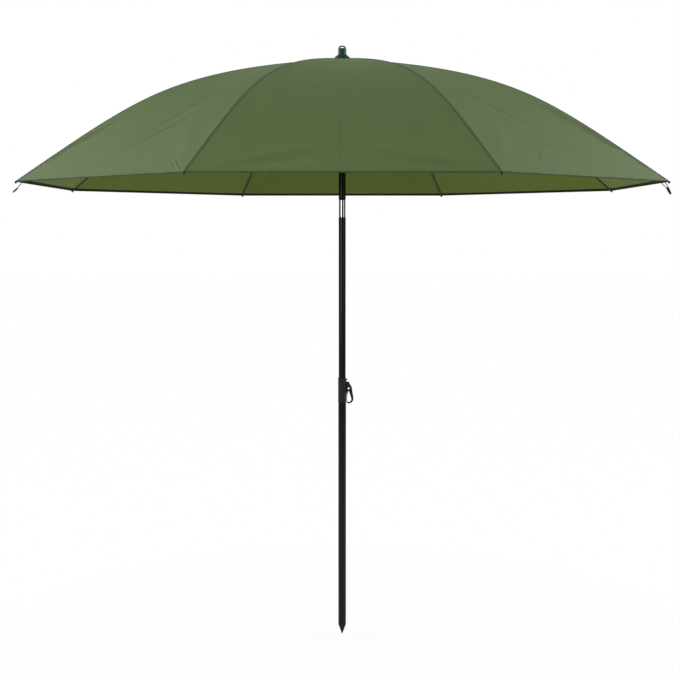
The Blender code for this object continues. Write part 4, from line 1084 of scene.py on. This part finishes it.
# %% Knuckle and spring
KNUCKLE_GAP, KNUCKLE_RIM = 0.0005, 0.0005
TONGUE_HALF, TONGUE_RADIUS, TONGUE_SINK, TONGUE_ROUNDING = 0.003, 0.005, 0.001, 0.0004
_, _, knuckle_top = round_part("tilt_knuckle")
shoulder_low = joint_top + KNUCKLE_GAP
shoulder_top = upper_foot - SLOT_GAP
knuckle = soften(spun([
    (0.0, knuckle_top), (plug_radius, knuckle_top), (plug_radius, shoulder_top),
    (mast_radius, shoulder_top), (mast_radius, shoulder_low), (0.0, shoulder_low),
], 72), KNUCKLE_RIM, segments=3)
tongue_root = shoulder_low + TONGUE_SINK
tongue_edge = arc(0, TILT_HEIGHT, TONGUE_RADIUS, 180, 360) + [
    (TONGUE_RADIUS, tongue_root), (-TONGUE_RADIUS, tongue_root)]
pin_hole = arc(0, TILT_HEIGHT, CROSS_PIN_RADIUS + SLOT_GAP)
tongue = plate([tongue_edge, pin_hole], 2 * TONGUE_HALF, TONGUE_ROUNDING)
piece("tilt_knuckle_shoulder", added(knuckle, moved(tongue, turned(QUARTER, "Z"))), "upper",
      "black_tube", ["tilt_knuckle"])

SPRING_TURNS, SPRING_WIRE, SPRING_END, SPRING_KEEP = 14, 0.0009, 0.0012, 0.48
COIL_POINTS = 24
spring_radius = (STEM_RADIUS + rod_radius) / 2
spring_rise = (SPRING_LENGTH - 2 * SPRING_END) / (2 * math.pi * SPRING_TURNS)
coil = [(spring_radius * math.cos(a), spring_radius * math.sin(a),
         head_top + SPRING_END + spring_rise * a)
        for a in (2 * math.pi * i / COIL_POINTS for i in range(COIL_POINTS * SPRING_TURNS + 1))]
spring = piece("pull_spring", swept(coil, SPRING_WIRE, (0, 0, 1), sides=10), "mast",
               "bright_plate", ["tilt_spring"])
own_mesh(spring)
print("tilt pin at height", round(TILT_HEIGHT, 4))

# %% [markdown]
# ## Crown, runner and catch
#
# The ribs hang in the crown and the stretchers in the runner. Both are moulded hubs with a
# slot for each rod, and a ring of wire through them that the rods' eyes turn on. The hub is
# spun, the slots are cut by one Boolean with eight blocks, and the ring is a small circle
# spun round the pole.

# %% Crown
WIRE_RADIUS, WIRE_SIDES = 0.0008, 12
CROWN_RADIUS, HUB_WALL, SOCKET_RADIUS, HUB_EDGE = 0.0285, 0.0038, 0.0075, 0.0005
# The crown's flange thins to its tube in two steps, out from the tube and down from the flange.
FLANGE_DROP, FLANGE_STEPS = 0.008, ((0.0015, 0.0006), (0.0, 0.0025))
RIB_SLOT_HALF, RIB_SLOT_DEPTH, RIB_SLOT_DROP, CUT_BEYOND = 0.00275, 0.0035, 0.0125, 0.01


def ring_of_slots(inner, outer, half_width, aside, low, high):
    """A block for each rib, turned about the pole."""
    return [moved(block((inner, aside - half_width, low), (outer, aside + half_width, high)),
                  turned(rib_azimuth(k), "Z")) for k in range(1, RIB_COUNT + 1)]


def wire_ring(radius, height):
    ring = [(radius + WIRE_RADIUS * math.cos(a), height + WIRE_RADIUS * math.sin(a))
            for a in (2 * math.pi * i / WIRE_SIDES for i in range(WIRE_SIDES))]
    return spun(ring, 96, closed=True)


_, crown_low, crown_top = round_part("crown")
pole_gap = mast_radius + SLOT_GAP
hub_radius = pole_gap + HUB_WALL
flange_foot = CROWN_HEIGHT - FLANGE_DROP
crown = soften(spun([
    (CROWN_RADIUS, crown_top), (CROWN_RADIUS, flange_foot),
    *[(hub_radius + out, flange_foot - down) for out, down in FLANGE_STEPS],
    (hub_radius, crown_low), (pole_gap, crown_low), (pole_gap, upper_top + SLOT_GAP),
    (SOCKET_RADIUS, upper_top + SLOT_GAP), (SOCKET_RADIUS, crown_top),
], 96, closed=True), HUB_EDGE)
crown = carved(crown, *ring_of_slots(
    CROWN_HINGE_RADIUS - RIB_SLOT_DEPTH, 2 * CROWN_RADIUS, RIB_SLOT_HALF, 0.0,
    CROWN_HEIGHT - RIB_SLOT_DROP, crown_top + CUT_BEYOND))
piece("crown_hub", added(crown, wire_ring(CROWN_HINGE_RADIUS, CROWN_HEIGHT)), "upper",
      "black_plastic", ["crown"])
print("crown from", round(crown_low, 4), "to", round(crown_top, 4))

# %% Runner
RUNNER_RADIUS, RUNNER_WALL, RUNNER_PLAY = 0.041, 0.0034, 0.0006
# The runner's flange, out from its tube and up from its hinges; its rim is RUNNER_RADIUS out.
FLANGE_UNDER, FLANGE_OVER = ((0.0, -0.0100), (0.0040, -0.0062)), ((0.0020, 0.0042), (0.0, 0.0060))
FLANGE_RIM = (-0.0060, 0.0040)
STRETCHER_SIDE = 0.00525
STRETCHER_SLOT_HALF, STRETCHER_SLOT_DEPTH, STRETCHER_SLOT_RISE = 0.0025, 0.0037, 0.012
# The grip's ridges, each out from the tube and up from its own foot.
GRIP_COUNT, GRIP_RISE, GRIP_PITCH = 5, 0.008, 0.0055
GRIP_RIDGE = ((0.0, 0.0), (0.0007, 0.0008), (0.0007, 0.0022), (0.0, 0.0030))
_, runner_low, runner_top = round_part("runner")
runner_bore = mast_radius + RUNNER_PLAY
runner_outer = runner_bore + RUNNER_WALL
grip = [(runner_outer + out, runner_low + GRIP_RISE + GRIP_PITCH * i + up)
        for i in range(GRIP_COUNT) for out, up in GRIP_RIDGE]
runner = soften(spun([
    (runner_bore, runner_top), (runner_bore, runner_low), (runner_outer, runner_low), *grip,
    *[(runner_outer + out, RUNNER_HEIGHT + up) for out, up in FLANGE_UNDER],
    *[(RUNNER_RADIUS, RUNNER_HEIGHT + up) for up in FLANGE_RIM],
    *[(runner_outer + out, RUNNER_HEIGHT + up) for out, up in FLANGE_OVER],
    (runner_outer, runner_top),
], 96, closed=True), HUB_EDGE)
runner = carved(runner, *ring_of_slots(
    RUNNER_HINGE_RADIUS - STRETCHER_SLOT_DEPTH, 2 * RUNNER_RADIUS, STRETCHER_SLOT_HALF,
    STRETCHER_SIDE, RUNNER_HEIGHT - STRETCHER_SLOT_RISE, RUNNER_HEIGHT + STRETCHER_SLOT_RISE))
ring_radius = math.hypot(RUNNER_HINGE_RADIUS, STRETCHER_SIDE)
piece("runner_hub", added(runner, wire_ring(ring_radius, RUNNER_HEIGHT)), "runner",
      "black_plastic", ["runner"])
print("runner slides under the crown at", round(RUNNER_HEIGHT, 4))

# %% Catch
CATCH_PROUD, CATCH_RAMP, CATCH_LEAF, CATCH_SIDE = 0.003, 0.009, 0.0015, 0.0035
CATCH_PLAY, CATCH_ROUNDING = 0.0006, 0.0003
catch_foot, catch_head = slot_low + SLOT_GAP, slot_high - SLOT_GAP
nose_out = -mast_radius - CATCH_PROUD
nose_in = CATCH_PLAY + TUBE_WALL - mast_radius
nose = [(nose_out, catch_head), (nose_out, catch_foot + CATCH_RAMP),
        (-mast_radius + SLOT_GAP, catch_foot), (nose_in, catch_foot), (nose_in, catch_head)]
latch = moved(plate([nose], 2 * CATCH_HALF, CATCH_ROUNDING), turned(QUARTER, "Z"))
leaf = soften(block((-CATCH_SIDE, catch_high.y - CATCH_LEAF, catch_low.z),
                    (CATCH_SIDE, catch_high.y, catch_high.z)), FINE_EDGE)
piece("catch_leaf", added(latch, leaf), "catch", "bright_plate", ["runner_catch"])
print("catch's nose is", round(catch_head - catch_foot, 4), "m tall")

# %% [markdown]
# ## Finial
#
# A dark green cap stands on the apex and clamps the cloth down with its flare. Its top
# carries a loop, so that the umbrella can be hung up. The flare is a curve, so its profile
# comes from a power of the height, not from straight steps, and the loop is a rod swept
# along a squarish arch.

# %% Finial
CAP_RADIUS, CAP_HEIGHT, CAP_RIM, CAP_BRIM = 0.0145, 0.0355, 0.0045, 0.0005
CAP_SHOULDER, SHOULDER_STEPS = 0.0022, 6
FLARE_RADIUS, FLARE_RISE, FLARE_CURVE, FLARE_STEPS = 0.0268, 0.0152, 1.25, 14
# The cap's hollow top and its groove, in from its radius and down from its top.
HOLLOW_SHARE, HOLLOW_DEPTH, HOLLOW_RIM = 0.55, 0.0004, 0.0002
GROOVE = ((0.0, 0.0085), (0.0004, 0.0090), (0.0004, 0.0100), (0.0, 0.0105))
LOOP_RADIUS, LOOP_RISE, LOOP_PROUD, LOOP_INSET = 0.0024, 0.0108, 0.0016, 0.0011
LOOP_SQUARENESS, LOOP_SINK, LOOP_STEPS = 0.6, 0.0032, 48
SPIGOT_RADIUS = 0.0072
finial_low, finial_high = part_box("finial")
flare_foot = finial_high.z - LOOP_RISE + LOOP_PROUD - CAP_HEIGHT
cap_top = flare_foot + CAP_HEIGHT
flare = []
for i in range(FLARE_STEPS + 1):
    share = i / FLARE_STEPS
    swell = (1 - share) ** FLARE_CURVE
    flare.append((CAP_RADIUS + (FLARE_RADIUS - CAP_RADIUS) * swell,
                  flare_foot + CAP_RIM + (FLARE_RISE - CAP_RIM) * share))
shoulder_out, shoulder_up = CAP_RADIUS - CAP_SHOULDER, cap_top - CAP_SHOULDER
shoulder = [(shoulder_out + CAP_SHOULDER * math.sin(a), shoulder_up + CAP_SHOULDER * math.cos(a))
            for a in (QUARTER * i / SHOULDER_STEPS for i in range(SHOULDER_STEPS + 1))]
finial = spun([
    (0.0, cap_top - HOLLOW_DEPTH), (CAP_RADIUS * HOLLOW_SHARE, cap_top - HOLLOW_RIM), *shoulder,
    *[(CAP_RADIUS - inwards, cap_top - down) for inwards, down in GROOVE],
    *reversed(flare), (FLARE_RADIUS - CAP_BRIM, flare_foot),
    (SPIGOT_RADIUS, flare_foot), (SPIGOT_RADIUS, finial_low.z), (0.0, finial_low.z),
], 96)
loop_half = CAP_RADIUS - LOOP_RADIUS - LOOP_INSET
loop_path = []
for i in range(LOOP_STEPS + 1):
    turn = math.pi * i / LOOP_STEPS
    rise = math.sin(turn) ** LOOP_SQUARENESS if 0 < i < LOOP_STEPS else 0.0
    loop_path.append((-loop_half * math.cos(turn), 0.0, cap_top - LOOP_SINK + LOOP_RISE * rise))
piece("finial_cap", finial, "upper", "green_plastic", ["finial"])
piece("finial_loop", swept(loop_path, LOOP_RADIUS, (0, 1, 0), sides=16), "upper", "black_plastic")
print("finial from", round(flare_foot, 4), "to", round(cap_top, 4))

# %% [markdown]
# ## Ribs, clips, tips and stretchers
#
# A rib is one rod with an eye at the crown, a riveted clip where its stretcher joins, and a
# moulded cap at the corner. On the real umbrella the rod springs straight when it folds. A
# rigid part can't do that, and here each rib stays rigid on its body. The stretcher stays
# straight, so it only rides.

# %% Shapes that the ribs and stretchers share
RIB_RADIUS, RIB_END, RIB_EYE, EYE_HOLE, EYE_HALF = 0.00225, 0.001, 0.0030, 0.0015, 0.0020
ROD_POINTS, ROD_START = 120, 0.004
JOINT_DROP, RIVET_RADIUS, RIVET_HEAD, RIVET_CAP = 0.0065, 0.0012, 0.0021, 0.0007
RIVET_REACH, RIVET_SHIFT, RIVET_RISE = 0.0021, 0.0005, 0.75
CLIP_SHARE, CLIP_HALF, CLIP_ROUNDING = 0.43, 0.00275, 0.0005
# The clip's outline, along the rib and square to it, and the cap's profile from its foot.
CLIP_EDGE = [(-0.0080, 0.0015), (0.0080, 0.0015), (0.0080, -0.0035), (0.0045, -0.0085),
             (0.0030, -0.0096), (-0.0030, -0.0096), (-0.0045, -0.0085), (-0.0080, -0.0035)]
TIP_PROFILE = [(0.0, 0.0060), (0.0012, 0.0059), (0.0026, 0.0053), (0.0036, 0.0042),
               (0.0044, 0.0030), (0.0044, 0.0019), (0.0041, 0.0008), (RIB_RADIUS, 0.0008)]
TIP_BACK = 0.0030


def chord_normal(k):
    """The direction square to rib k's chord, upwards in the rib's own plane."""
    return rib_frame(k).to_3x3() @ Vector((math.sin(CHORD_SLOPE), 0.0, math.cos(CHORD_SLOPE)))


def flatten(made, k, normal):
    tuple(rib_frame(k).translation)
    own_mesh(made)


def eye(out, up, aside, radius, hole, half):
    """A ring with its hole across the rib's plane."""
    ring = spun([(radius, half), (radius, -half), (hole, -half), (hole, half)], 32, closed=True)
    return moved(soften(ring, FINE_EDGE), turned(QUARTER, "X", (out, aside, up)))


rod_line = []
for i in range(ROD_POINTS + 1):
    out, up, _ = on_bow(ROD_START + (1 - ROD_START) * i / ROD_POINTS)
    rod_line.append((out, 0.0, up))
end_slope = BOW[-1][2]
rod_line.append((rib_end.x + RIB_END * math.cos(end_slope), 0.0,
                 rib_end.z - RIB_END * math.sin(end_slope)))
clip_out, clip_up, clip_slope = on_bow(CLIP_SHARE)
joint_out, joint_up, _ = on_bow(CLIP_SHARE, -JOINT_DROP)
print("stretchers meet the ribs", round(joint_out, 4), "out from the crown's hinges")

# %% Ribs with their clips and caps
rivet_half = CLIP_HALF + RIVET_REACH
rivet_place = (joint_out, STRETCHER_SIDE / 2 - RIVET_SHIFT, joint_up)
for k in range(1, RIB_COUNT + 1):
    clip = moved(plate([CLIP_EDGE], 2 * CLIP_HALF, CLIP_ROUNDING),
                 turned(clip_slope, "Y", (clip_out, 0, clip_up)))
    rod = added(swept(rod_line, RIB_RADIUS, (0, 1, 0), sides=16), clip,
                eye(0, 0, 0, RIB_EYE, EYE_HOLE, EYE_HALF))
    rib = piece(f"rib_rod_{k}", moved(rod, rib_frame(k)), f"rib_{k}", "black_fibre", [f"rib_{k}"])
    cap = moved(spun(TIP_PROFILE, 32), rib_frame(k) @ turned(QUARTER + end_slope, "Y", rib_end)
                @ Matrix.Translation((0.0, 0.0, -TIP_BACK)))
    piece(f"rib_cap_{k}", cap, f"rib_{k}", "black_plastic", [f"rib_tip_{k}"])
    rivet = headed(RIVET_RADIUS, rivet_half, RIVET_HEAD, RIVET_CAP, RIVET_RISE, 20)
    rivet = moved(rivet, rib_frame(k) @ turned(QUARTER, "X", rivet_place))
    pin = piece(f"clip_rivet_{k}", rivet, f"rib_{k}", "bright_plate")
    for part in (rib, pin):
        flatten(part, k, chord_normal(k))
print("eight ribs of", ROD_POINTS, "steps")

# %% Stretchers
STRETCHER_RADIUS, STRETCHER_EYE, STRETCHER_EYE_HALF = 0.002, 0.0032, 0.0016
STRETCHER_START, STRETCHER_STEPS = 0.0013, 24
stretch = Vector((CROWN_HINGE_RADIUS + joint_out - RUNNER_HINGE_RADIUS, 0.0,
                  CROWN_HEIGHT + joint_up - RUNNER_HEIGHT))
start = stretch.normalized() * STRETCHER_START
side = Vector((0.0, STRETCHER_SIDE, 0.0))
line = [side + start + (stretch - start) * i / STRETCHER_STEPS
        for i in range(STRETCHER_STEPS + 1)]
from_crown = Matrix.Translation((RUNNER_HINGE_RADIUS - CROWN_HINGE_RADIUS, 0.0,
                                 RUNNER_HEIGHT - CROWN_HEIGHT))
for k in range(1, RIB_COUNT + 1):
    bar = added(swept(line, STRETCHER_RADIUS, (0, 1, 0), sides=16),
                eye(0, 0, STRETCHER_SIDE, STRETCHER_EYE, EYE_HOLE, STRETCHER_EYE_HALF),
                eye(stretch.x, stretch.z, STRETCHER_SIDE, STRETCHER_EYE, RIVET_RADIUS,
                    STRETCHER_EYE_HALF))
    piece(f"stretcher_bar_{k}", moved(bar, rib_frame(k) @ from_crown), f"stretcher_{k}",
          "black_tube", [f"stretcher_{k}"])
print("stretchers", round(stretch.length, 4), "m long")

# %% [markdown]
# ## The canopy's surface
#
# The canopy is one stretched skin. Between two ribs it is almost straight across, but the
# pull along the ribs draws it in a little in the middle, like a saddle. On top of that lie
# soft tension folds that fan out of the corners, where the cloth is pulled hardest. The
# sharper creases from having been packed are already in the cloth's finish. The whole surface
# is one function of the place in a gore: `share` runs down from the crown to the hem, and
# `across` runs from -1 at one rib to 1 at the next. Both halves of a gore use the same
# function, so they meet exactly.
#
# A fold is a ridge along a line in the flat cloth. It is as high as a bell curve of the
# distance to that line, and it fades towards its ends.

# %% Folds
CANOPY_LIFT = 0.00305
SAG, SAG_SPREAD = 0.0085, 0.75
FOLD_REACH, FOLD_END, FOLD_FADE = 3.2, 0.06, 0.6
RIPPLE_HEIGHT, RIPPLES_ACROSS, RIPPLES_ALONG, NEXT_RIPPLES = 0.0007, 9, 6, 7.3
# How fast the folds start beside the ribs, above the hem and below the crown.
HOLD_RIB, HOLD_HEM, HOLD_CROWN = 3.0, 22.0, 6.0
# Each fold: (share, across) at both ends, height and half width in metres. Gores count from
# the one between ribs 1 and 2; 6 faces the camera, 5 is to its left and 7 to its right.
FOLDS = {
    5: [
        (0.99, 0.96, 0.74, 0.52, 0.0026, 0.030), (0.98, -0.92, 0.72, -0.45, 0.0020, 0.030),
        (0.90, -0.08, 0.55, 0.52, -0.0024, 0.020),
    ],
    6: [
        (0.99, -0.99, 0.87, -0.10, 0.0036, 0.019), (1.00, -0.97, 0.93, -0.16, -0.0032, 0.018),
        (0.99, 0.99, 0.88, 0.16, 0.0030, 0.020), (1.00, 0.97, 0.94, 0.24, -0.0026, 0.018),
    ],
    7: [
        (0.99, -0.96, 0.76, -0.50, 0.0024, 0.028), (0.98, 0.92, 0.72, 0.45, 0.0020, 0.030),
        (0.60, -0.60, 0.82, 0.20, -0.0022, 0.020),
    ],
}


def spare_folds(gore):
    """Folds for the gores that the photo hides, placed by reading a smooth noise."""
    folds = [(0.99, -0.96, 0.75, -0.46, 0.0024, 0.026), (0.99, 0.96, 0.76, 0.46, 0.0024, 0.026)]
    for i in range(4):
        # These numbers only choose where the noise is read.
        a, b = (noise.noise(Vector((gore * 3.7 + i * 1.9, 0.37 + j, 5.1))) for j in range(2))
        share, middle = 0.48 + 0.10 * i + 0.10 * a, 1.2 * b
        folds.append((share + 0.10, middle - 0.30, share - 0.08, middle + 0.30,
                      0.0020 if i % 2 else -0.0020, 0.020))
    return folds


def fold_height(flat, ends, height, width):
    """How far a fold lifts a point of the flat cloth."""
    start, end = ends
    way = end - start
    along = (flat - start).dot(way) / way.length_squared
    nearest = start + way * min(max(along, 0.0), 1.0)
    gap = (flat - nearest).length
    if gap > FOLD_REACH * width:
        return 0.0
    kept = min(max(FOLD_END + (1 - 2 * FOLD_END) * along, 0.0), 1.0)
    fade = math.sin(math.pi * kept) ** FOLD_FADE
    return height * fade * math.exp(-(gap / width) ** 2)


def half_width(share):
    """Half the width of a gore at a share of the rib."""
    return (CROWN_HINGE_RADIUS + on_bow(share)[0]) * math.sin(HALF_PANEL)


def flat_place(share, across):
    """A place in a gore as a point of the flat cloth, in metres."""
    return Vector((across * half_width(share), share * RIB_ARC))


class Gore:
    """The cloth between rib k and the next one, as a function of share and across."""

    def __init__(self, k):
        self.k = k
        self.turn = Matrix.Rotation(rib_azimuth(k) + HALF_PANEL, 3, "Z")
        named = FOLDS.get(k) or spare_folds(k)
        self.folds = [((flat_place(*fold[:2]), flat_place(*fold[2:4])), *fold[4:])
                      for fold in named]

    def point(self, share, across, lift=0.0):
        """A point of the cloth in the world, lifted off it by a distance."""
        out, up, slope = on_bow(share, CANOPY_LIFT)
        out += CROWN_HINGE_RADIUS
        free = 1.0 - across * across
        spread = math.sin(math.pi * share) ** SAG_SPREAD if share < 1 else 0.0
        height = -SAG * free * spread
        flat = flat_place(share, across)
        held = (min(free * HOLD_RIB, 1.0) * min((1.0 - share) * HOLD_HEM, 1.0)
                * min(share * HOLD_CROWN, 1.0))
        if held > 0:
            height += held * sum(fold_height(flat, *fold) for fold in self.folds)
            ripple = noise.noise(Vector((flat.x * RIPPLES_ACROSS, flat.y * RIPPLES_ALONG,
                                         self.k * NEXT_RIPPLES)))
            height += held * RIPPLE_HEIGHT * ripple
        tilt = math.atan2(math.sin(slope), math.cos(slope) * math.cos(HALF_PANEL))
        reach = out * math.cos(HALF_PANEL) + (height + lift) * math.sin(tilt)
        rise = up + (height + lift) * math.cos(tilt)
        return self.turn @ Vector((reach, across * out * math.sin(HALF_PANEL), 0)) + Vector(
            (0, 0, CROWN_HEIGHT + rise))


GORES = {k: Gore(k) for k in range(1, RIB_COUNT + 1)}
print("cloth's middle at the hem is", round(GORES[6].point(1, 0).z, 4), "up")

# %% [markdown]
# ## Cutting and hanging the cloth
#
# A grid operator makes the flat sheet, and each of its points is then sent to its place on
# the gore. The thickness comes from Solidify, applied before the piece rides. Each gore is
# two sheets, one for each rib, because the real cloth folds along a gore's middle, and a
# sheet can only ride on one body.

# %% Hanging a sheet
CLOTH_THICKNESS = 0.0005
CLOTH_SHARP = math.radians(50)


def hung(body, rows, columns, place, name, materials, thickness=CLOTH_THICKNESS):
    """A sheet whose points are place(u, v), u from the rib and v from the crown, both 0 to 1.

    A second material, if there is one, goes on the sheet's inside.
    """
    bm = bmesh.new()
    layer = bm.loops.layers.uv.new("UVMap")
    bmesh.ops.create_grid(bm, x_segments=columns, y_segments=rows, size=0.5)
    flat = {}
    for vert in bm.verts:
        u, v = vert.co.x + 0.5, vert.co.y + 0.5
        vert.co, flat[vert] = place(u, v)
    for face in bm.faces:
        for loop in face.loops:
            loop[layer].uv = flat[loop.vert]
    bmesh.ops.recalc_face_normals(bm, faces=bm.faces)
    if sum(face.normal.z for face in bm.faces) < 0:
        bmesh.ops.reverse_faces(bm, faces=bm.faces)
    mesh = bpy.data.meshes.new(name)
    bm.to_mesh(mesh)
    bm.free()
    for material in materials:
        mesh.materials.append(material)
    made = linked(name, mesh)
    solid = made.modifiers.new("thickness", "SOLIDIFY")
    solid.thickness = thickness
    solid.offset = 0.0
    solid.material_offset = len(materials) - 1
    applied(made)
    made.data.shade_smooth()
    made.data.set_sharp_from_angle(angle=CLOTH_SHARP)
    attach(made, body)
    return made


def rib_side(k, hand):
    """The gore on one side of rib k, and the sign of across at the rib itself."""
    return (GORES[k], -1.0) if hand > 0 else (GORES[(k - 2) % RIB_COUNT + 1], 1.0)


def panel_normal(k, hand):
    """Square to the plane through rib k's chord and straight across its gore."""
    across = Vector((-math.sin(hand * HALF_PANEL), math.cos(hand * HALF_PANEL), 0))
    chord = Vector((math.cos(CHORD_SLOPE), 0, -math.sin(CHORD_SLOPE)))
    normal = chord.cross(across).normalized()
    return rib_frame(k).to_3x3() @ (normal if normal.z > 0 else -normal)


# %% Half panels
FABRIC_HOLE = 0.0247
FABRIC_START = (FABRIC_HOLE - CROWN_HINGE_RADIUS) / RIB_ARC
ROWS, COLUMNS = 170, 44
HALF_SEAM = 0.0012
AREA_STEPS = 200
PATTERNS = ("right", "left", "right", "left", "left", "front", "right", "left")
HALVES = [(k, hand, word) for k in range(1, RIB_COUNT + 1)
          for hand, word in ((1, "left"), (-1, "right"))]


def on_half(k, hand, start, lift=0.0):
    """A place on one half of a gore, from a share of the rib down to the hem."""
    gore, rib_across = rib_side(k, hand)

    def place(u, v):
        share = start + (1 - start) * v
        across = rib_across * (1 - HALF_SEAM / half_width(share)) * (1 - u)
        return gore.point(share, across, lift), tuple(flat_place(share, across))
    return place


half_area = sum(half_width((i + 0.5) / AREA_STEPS) * RIB_ARC / AREA_STEPS
                for i in range(AREA_STEPS))
for k, hand, word in HALVES:
    pattern = PATTERNS[rib_side(k, hand)[0].k - 1]
    panel = hung(f"panel_{k}_{word}", ROWS, COLUMNS, on_half(k, hand, FABRIC_START),
                 f"canopy_half_{k}_{word}", [CANOPY_NYLON[pattern], SHADED_INSIDE])
    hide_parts(f"canopy_panel_{k}_{word}")
    flatten(panel, k, panel_normal(k, hand))
    round(half_width(1), 3)
print("sixteen half panels of", round(half_area, 4), "square metres each")

# %% [markdown]
# ## Hem, binding and seams
#
# The hem is the cloth turned under and stitched, so it is a band a little proud of the panel
# and a shade lighter, with a narrow dark edging on its outer edge. Inside it is bound with tape
# whose near-black colour is painted shade for the inside of the doubled hem. Along each rib the
# panels meet in a flat seam, folded over and sewn with two rows of stitches, with a painted
# shadow along the fold. All four follow the same surface function, only lifted off it.

# %% Bands along the hem, each with its width and its lift off the cloth
BAND_ROWS = 4
BANDS = (("hem", 0.0080, 0.00055, HEM_NYLON),
         ("binding", 0.0155, -0.00055, SHADED_HEM_TAPE),
         ("edging", 0.0040, 0.0011, EDGE_TAPE))
for k, hand, word in HALVES:
    for band_name, width, lift, material in BANDS:
        strip = hung(f"panel_{k}_{word}", BAND_ROWS, COLUMNS,
                     on_half(k, hand, 1 - width / RIB_ARC, lift), f"{band_name}_{k}_{word}",
                     [material])
        flatten(strip, k, panel_normal(k, hand))
print("hems, bindings and edgings:", len(HALVES) * len(BANDS))

# %% Seams along the ribs
SEAM_HALF, SEAM_THICKNESS = 0.0052, 0.0004
SEAM_START, SEAM_SHARE, SEAM_ROWS, SEAM_COLUMNS = 0.03, 0.968, 150, 8
SEAM_LIFT, SEAM_CROWN = CLOTH_THICKNESS / 2 + 0.0004, 0.0002


def on_seam(k):
    """A place on rib k's seam, which lies half on each of its two gores."""
    def place(u, v):
        share = SEAM_START + SEAM_SHARE * v
        aside = (2 * u - 1) * SEAM_HALF
        gore, sign = rib_side(k, aside)
        lift = SEAM_LIFT + SEAM_CROWN * math.cos(QUARTER * aside / SEAM_HALF)
        across = sign * (1 - abs(aside) / half_width(share))
        return gore.point(share, across, lift), (aside, share * RIB_ARC)
    return place


for k in range(1, RIB_COUNT + 1):
    seam = hung(f"rib_{k}", SEAM_ROWS, SEAM_COLUMNS, on_seam(k), f"rib_seam_{k}", [SEAM_NYLON],
                SEAM_THICKNESS)
    flatten(seam, k, chord_normal(k))
print("seams follow the cloth along", RIB_COUNT, "ribs")

# %% [markdown]
# ## The parts that stay as the CAD made them
#
# The bush inside the lower tube never shows its shape, so the CAD mesh stays, with a moulded
# finish like the collar's.

# %% Finishes on CAD parts
frame["nodes"]["mast_bush"].material_slots[0].material = BLACK_PLASTIC
print("kept from the CAD: mast_bush")

# %% [markdown]
# ## Floor, lights and world
#
# The photo's background is plain white. The floor is a pale matt sheet that is mostly white
# to the camera and keeps a soft shadow. The world is white to the camera and in the
# direction that shiny parts mirror from behind the umbrella, and dim elsewhere, so that the
# black tubes stay black. Two big lamps high at the left and right light the cloth's sides and
# shine through it, and two lamps in front draw the bright lines on the pole.

# %% Floor
WHITE, FLOOR_PALE = (1.0, 1.0, 1.0), (0.68, 0.68, 0.66)
FLOOR_HALF, FLOOR_WHITENESS, WHITER_OUTWARDS, FLOOR_WHITEST = 40.0, 0.90, 0.05, 0.995
floor_grid = bmesh.new()
bmesh.ops.create_grid(floor_grid, x_segments=8, y_segments=8, size=FLOOR_HALF)
floor_mesh = bpy.data.meshes.new("floor")
floor_grid.to_mesh(floor_mesh)
floor_grid.free()
floor = linked("floor", floor_mesh)
pale = Finish("pale_floor")
matt = pale.node("ShaderNodeBsdfDiffuse", {}, {"Color": FLOOR_PALE})
white = pale.node("ShaderNodeEmission", {}, {"Color": WHITE, "Strength": 1.0})
seen = pale.node("ShaderNodeLightPath", output="Is Camera Ray")
spot = pale.place()
out_x, out_y = pale.part_of(spot, 0), pale.part_of(spot, 1)
whiteness = (out_x * out_x + out_y * out_y) * WHITER_OUTWARDS + FLOOR_WHITENESS
share = seen * whiteness.maths("MINIMUM", FLOOR_WHITEST)
floor_mesh.materials.append(pale.surface(
    pale.node("ShaderNodeMixShader", {}, {0: share, 1: matt, 2: white})))
floor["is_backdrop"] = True
print("floor", 2 * FLOOR_HALF, "m wide")

# %% Lamps: place, the height on the pole that they face, size and power
LAMPS = (
    ("high_left_lamp", (-4.2, 0.6, 3.8), 1.9, (2.5, 2.5), 180.0),
    ("high_right_lamp", (4.2, 0.5, 3.8), 1.9, (2.5, 2.5), 200.0),
    ("pole_left_lamp", (-1.9, -2.82, 1.75), 1.75, (1.7, 1.7), 42.0),
    ("pole_right_lamp", (2.75, -2.0, 1.85), 1.85, (1.6, 1.7), 16.0),
)
for name, place, height, size, power in LAMPS:
    light = bpy.data.lights.new(name, "AREA")
    light.shape = "RECTANGLE"
    light.size, light.size_y = size
    light.energy = power
    lamp = linked(name, light)
    lamp.location = place
    aim = Vector((0.0, 0.0, height)) - Vector(place)
    lamp.rotation_euler = aim.to_track_quat("-Z", "Y").to_euler()
print("lamps:", len(LAMPS))

# %% World
MIRRORED_DARK, ELSEWHERE = 0.06, 0.55
sky = Finish("studio", bpy.data.worlds, "ShaderNodeOutputWorld")
way = sky.node("ShaderNodeTexCoord", output="Generated")
rightwards, behind, over = (sky.part_of(way, axis) for axis in range(3))
seen, glossy, through = (sky.node("ShaderNodeLightPath", output=f"Is {word} Ray")
                         for word in ("Camera", "Glossy", "Transmission"))
backdrop = behind.rising(start=0.28, slope=6.0) * (1.0 - over.rising(start=0.34, slope=7.0))
backdrop = backdrop * (over.rising(start=0.06, slope=8.0) * 0.8 + 0.2)
backdrop = backdrop * (0.9 - rightwards.rising(start=0.2, slope=1.6) * 0.6)
glow = (seen + (glossy * backdrop + through)).clamped()
dark = 1.0 - glow
strength = glow + dark * (1.0 - glossy) * ELSEWHERE + dark * glossy * MIRRORED_DARK
bpy.context.scene.world = sky.surface(
    sky.node("ShaderNodeBackground", {}, {"Color": WHITE, "Strength": strength}))
print("world:", bpy.context.scene.world.name)

# %% [markdown]
# ## Sizes, and the end
#
# The dressed umbrella is to fill the same box as the CAD one; the last cell prints the box it
# fills.

# %% Print the dressed box
low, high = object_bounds()
print("visual box", [round(x, 4) for x in (*low, *high)])
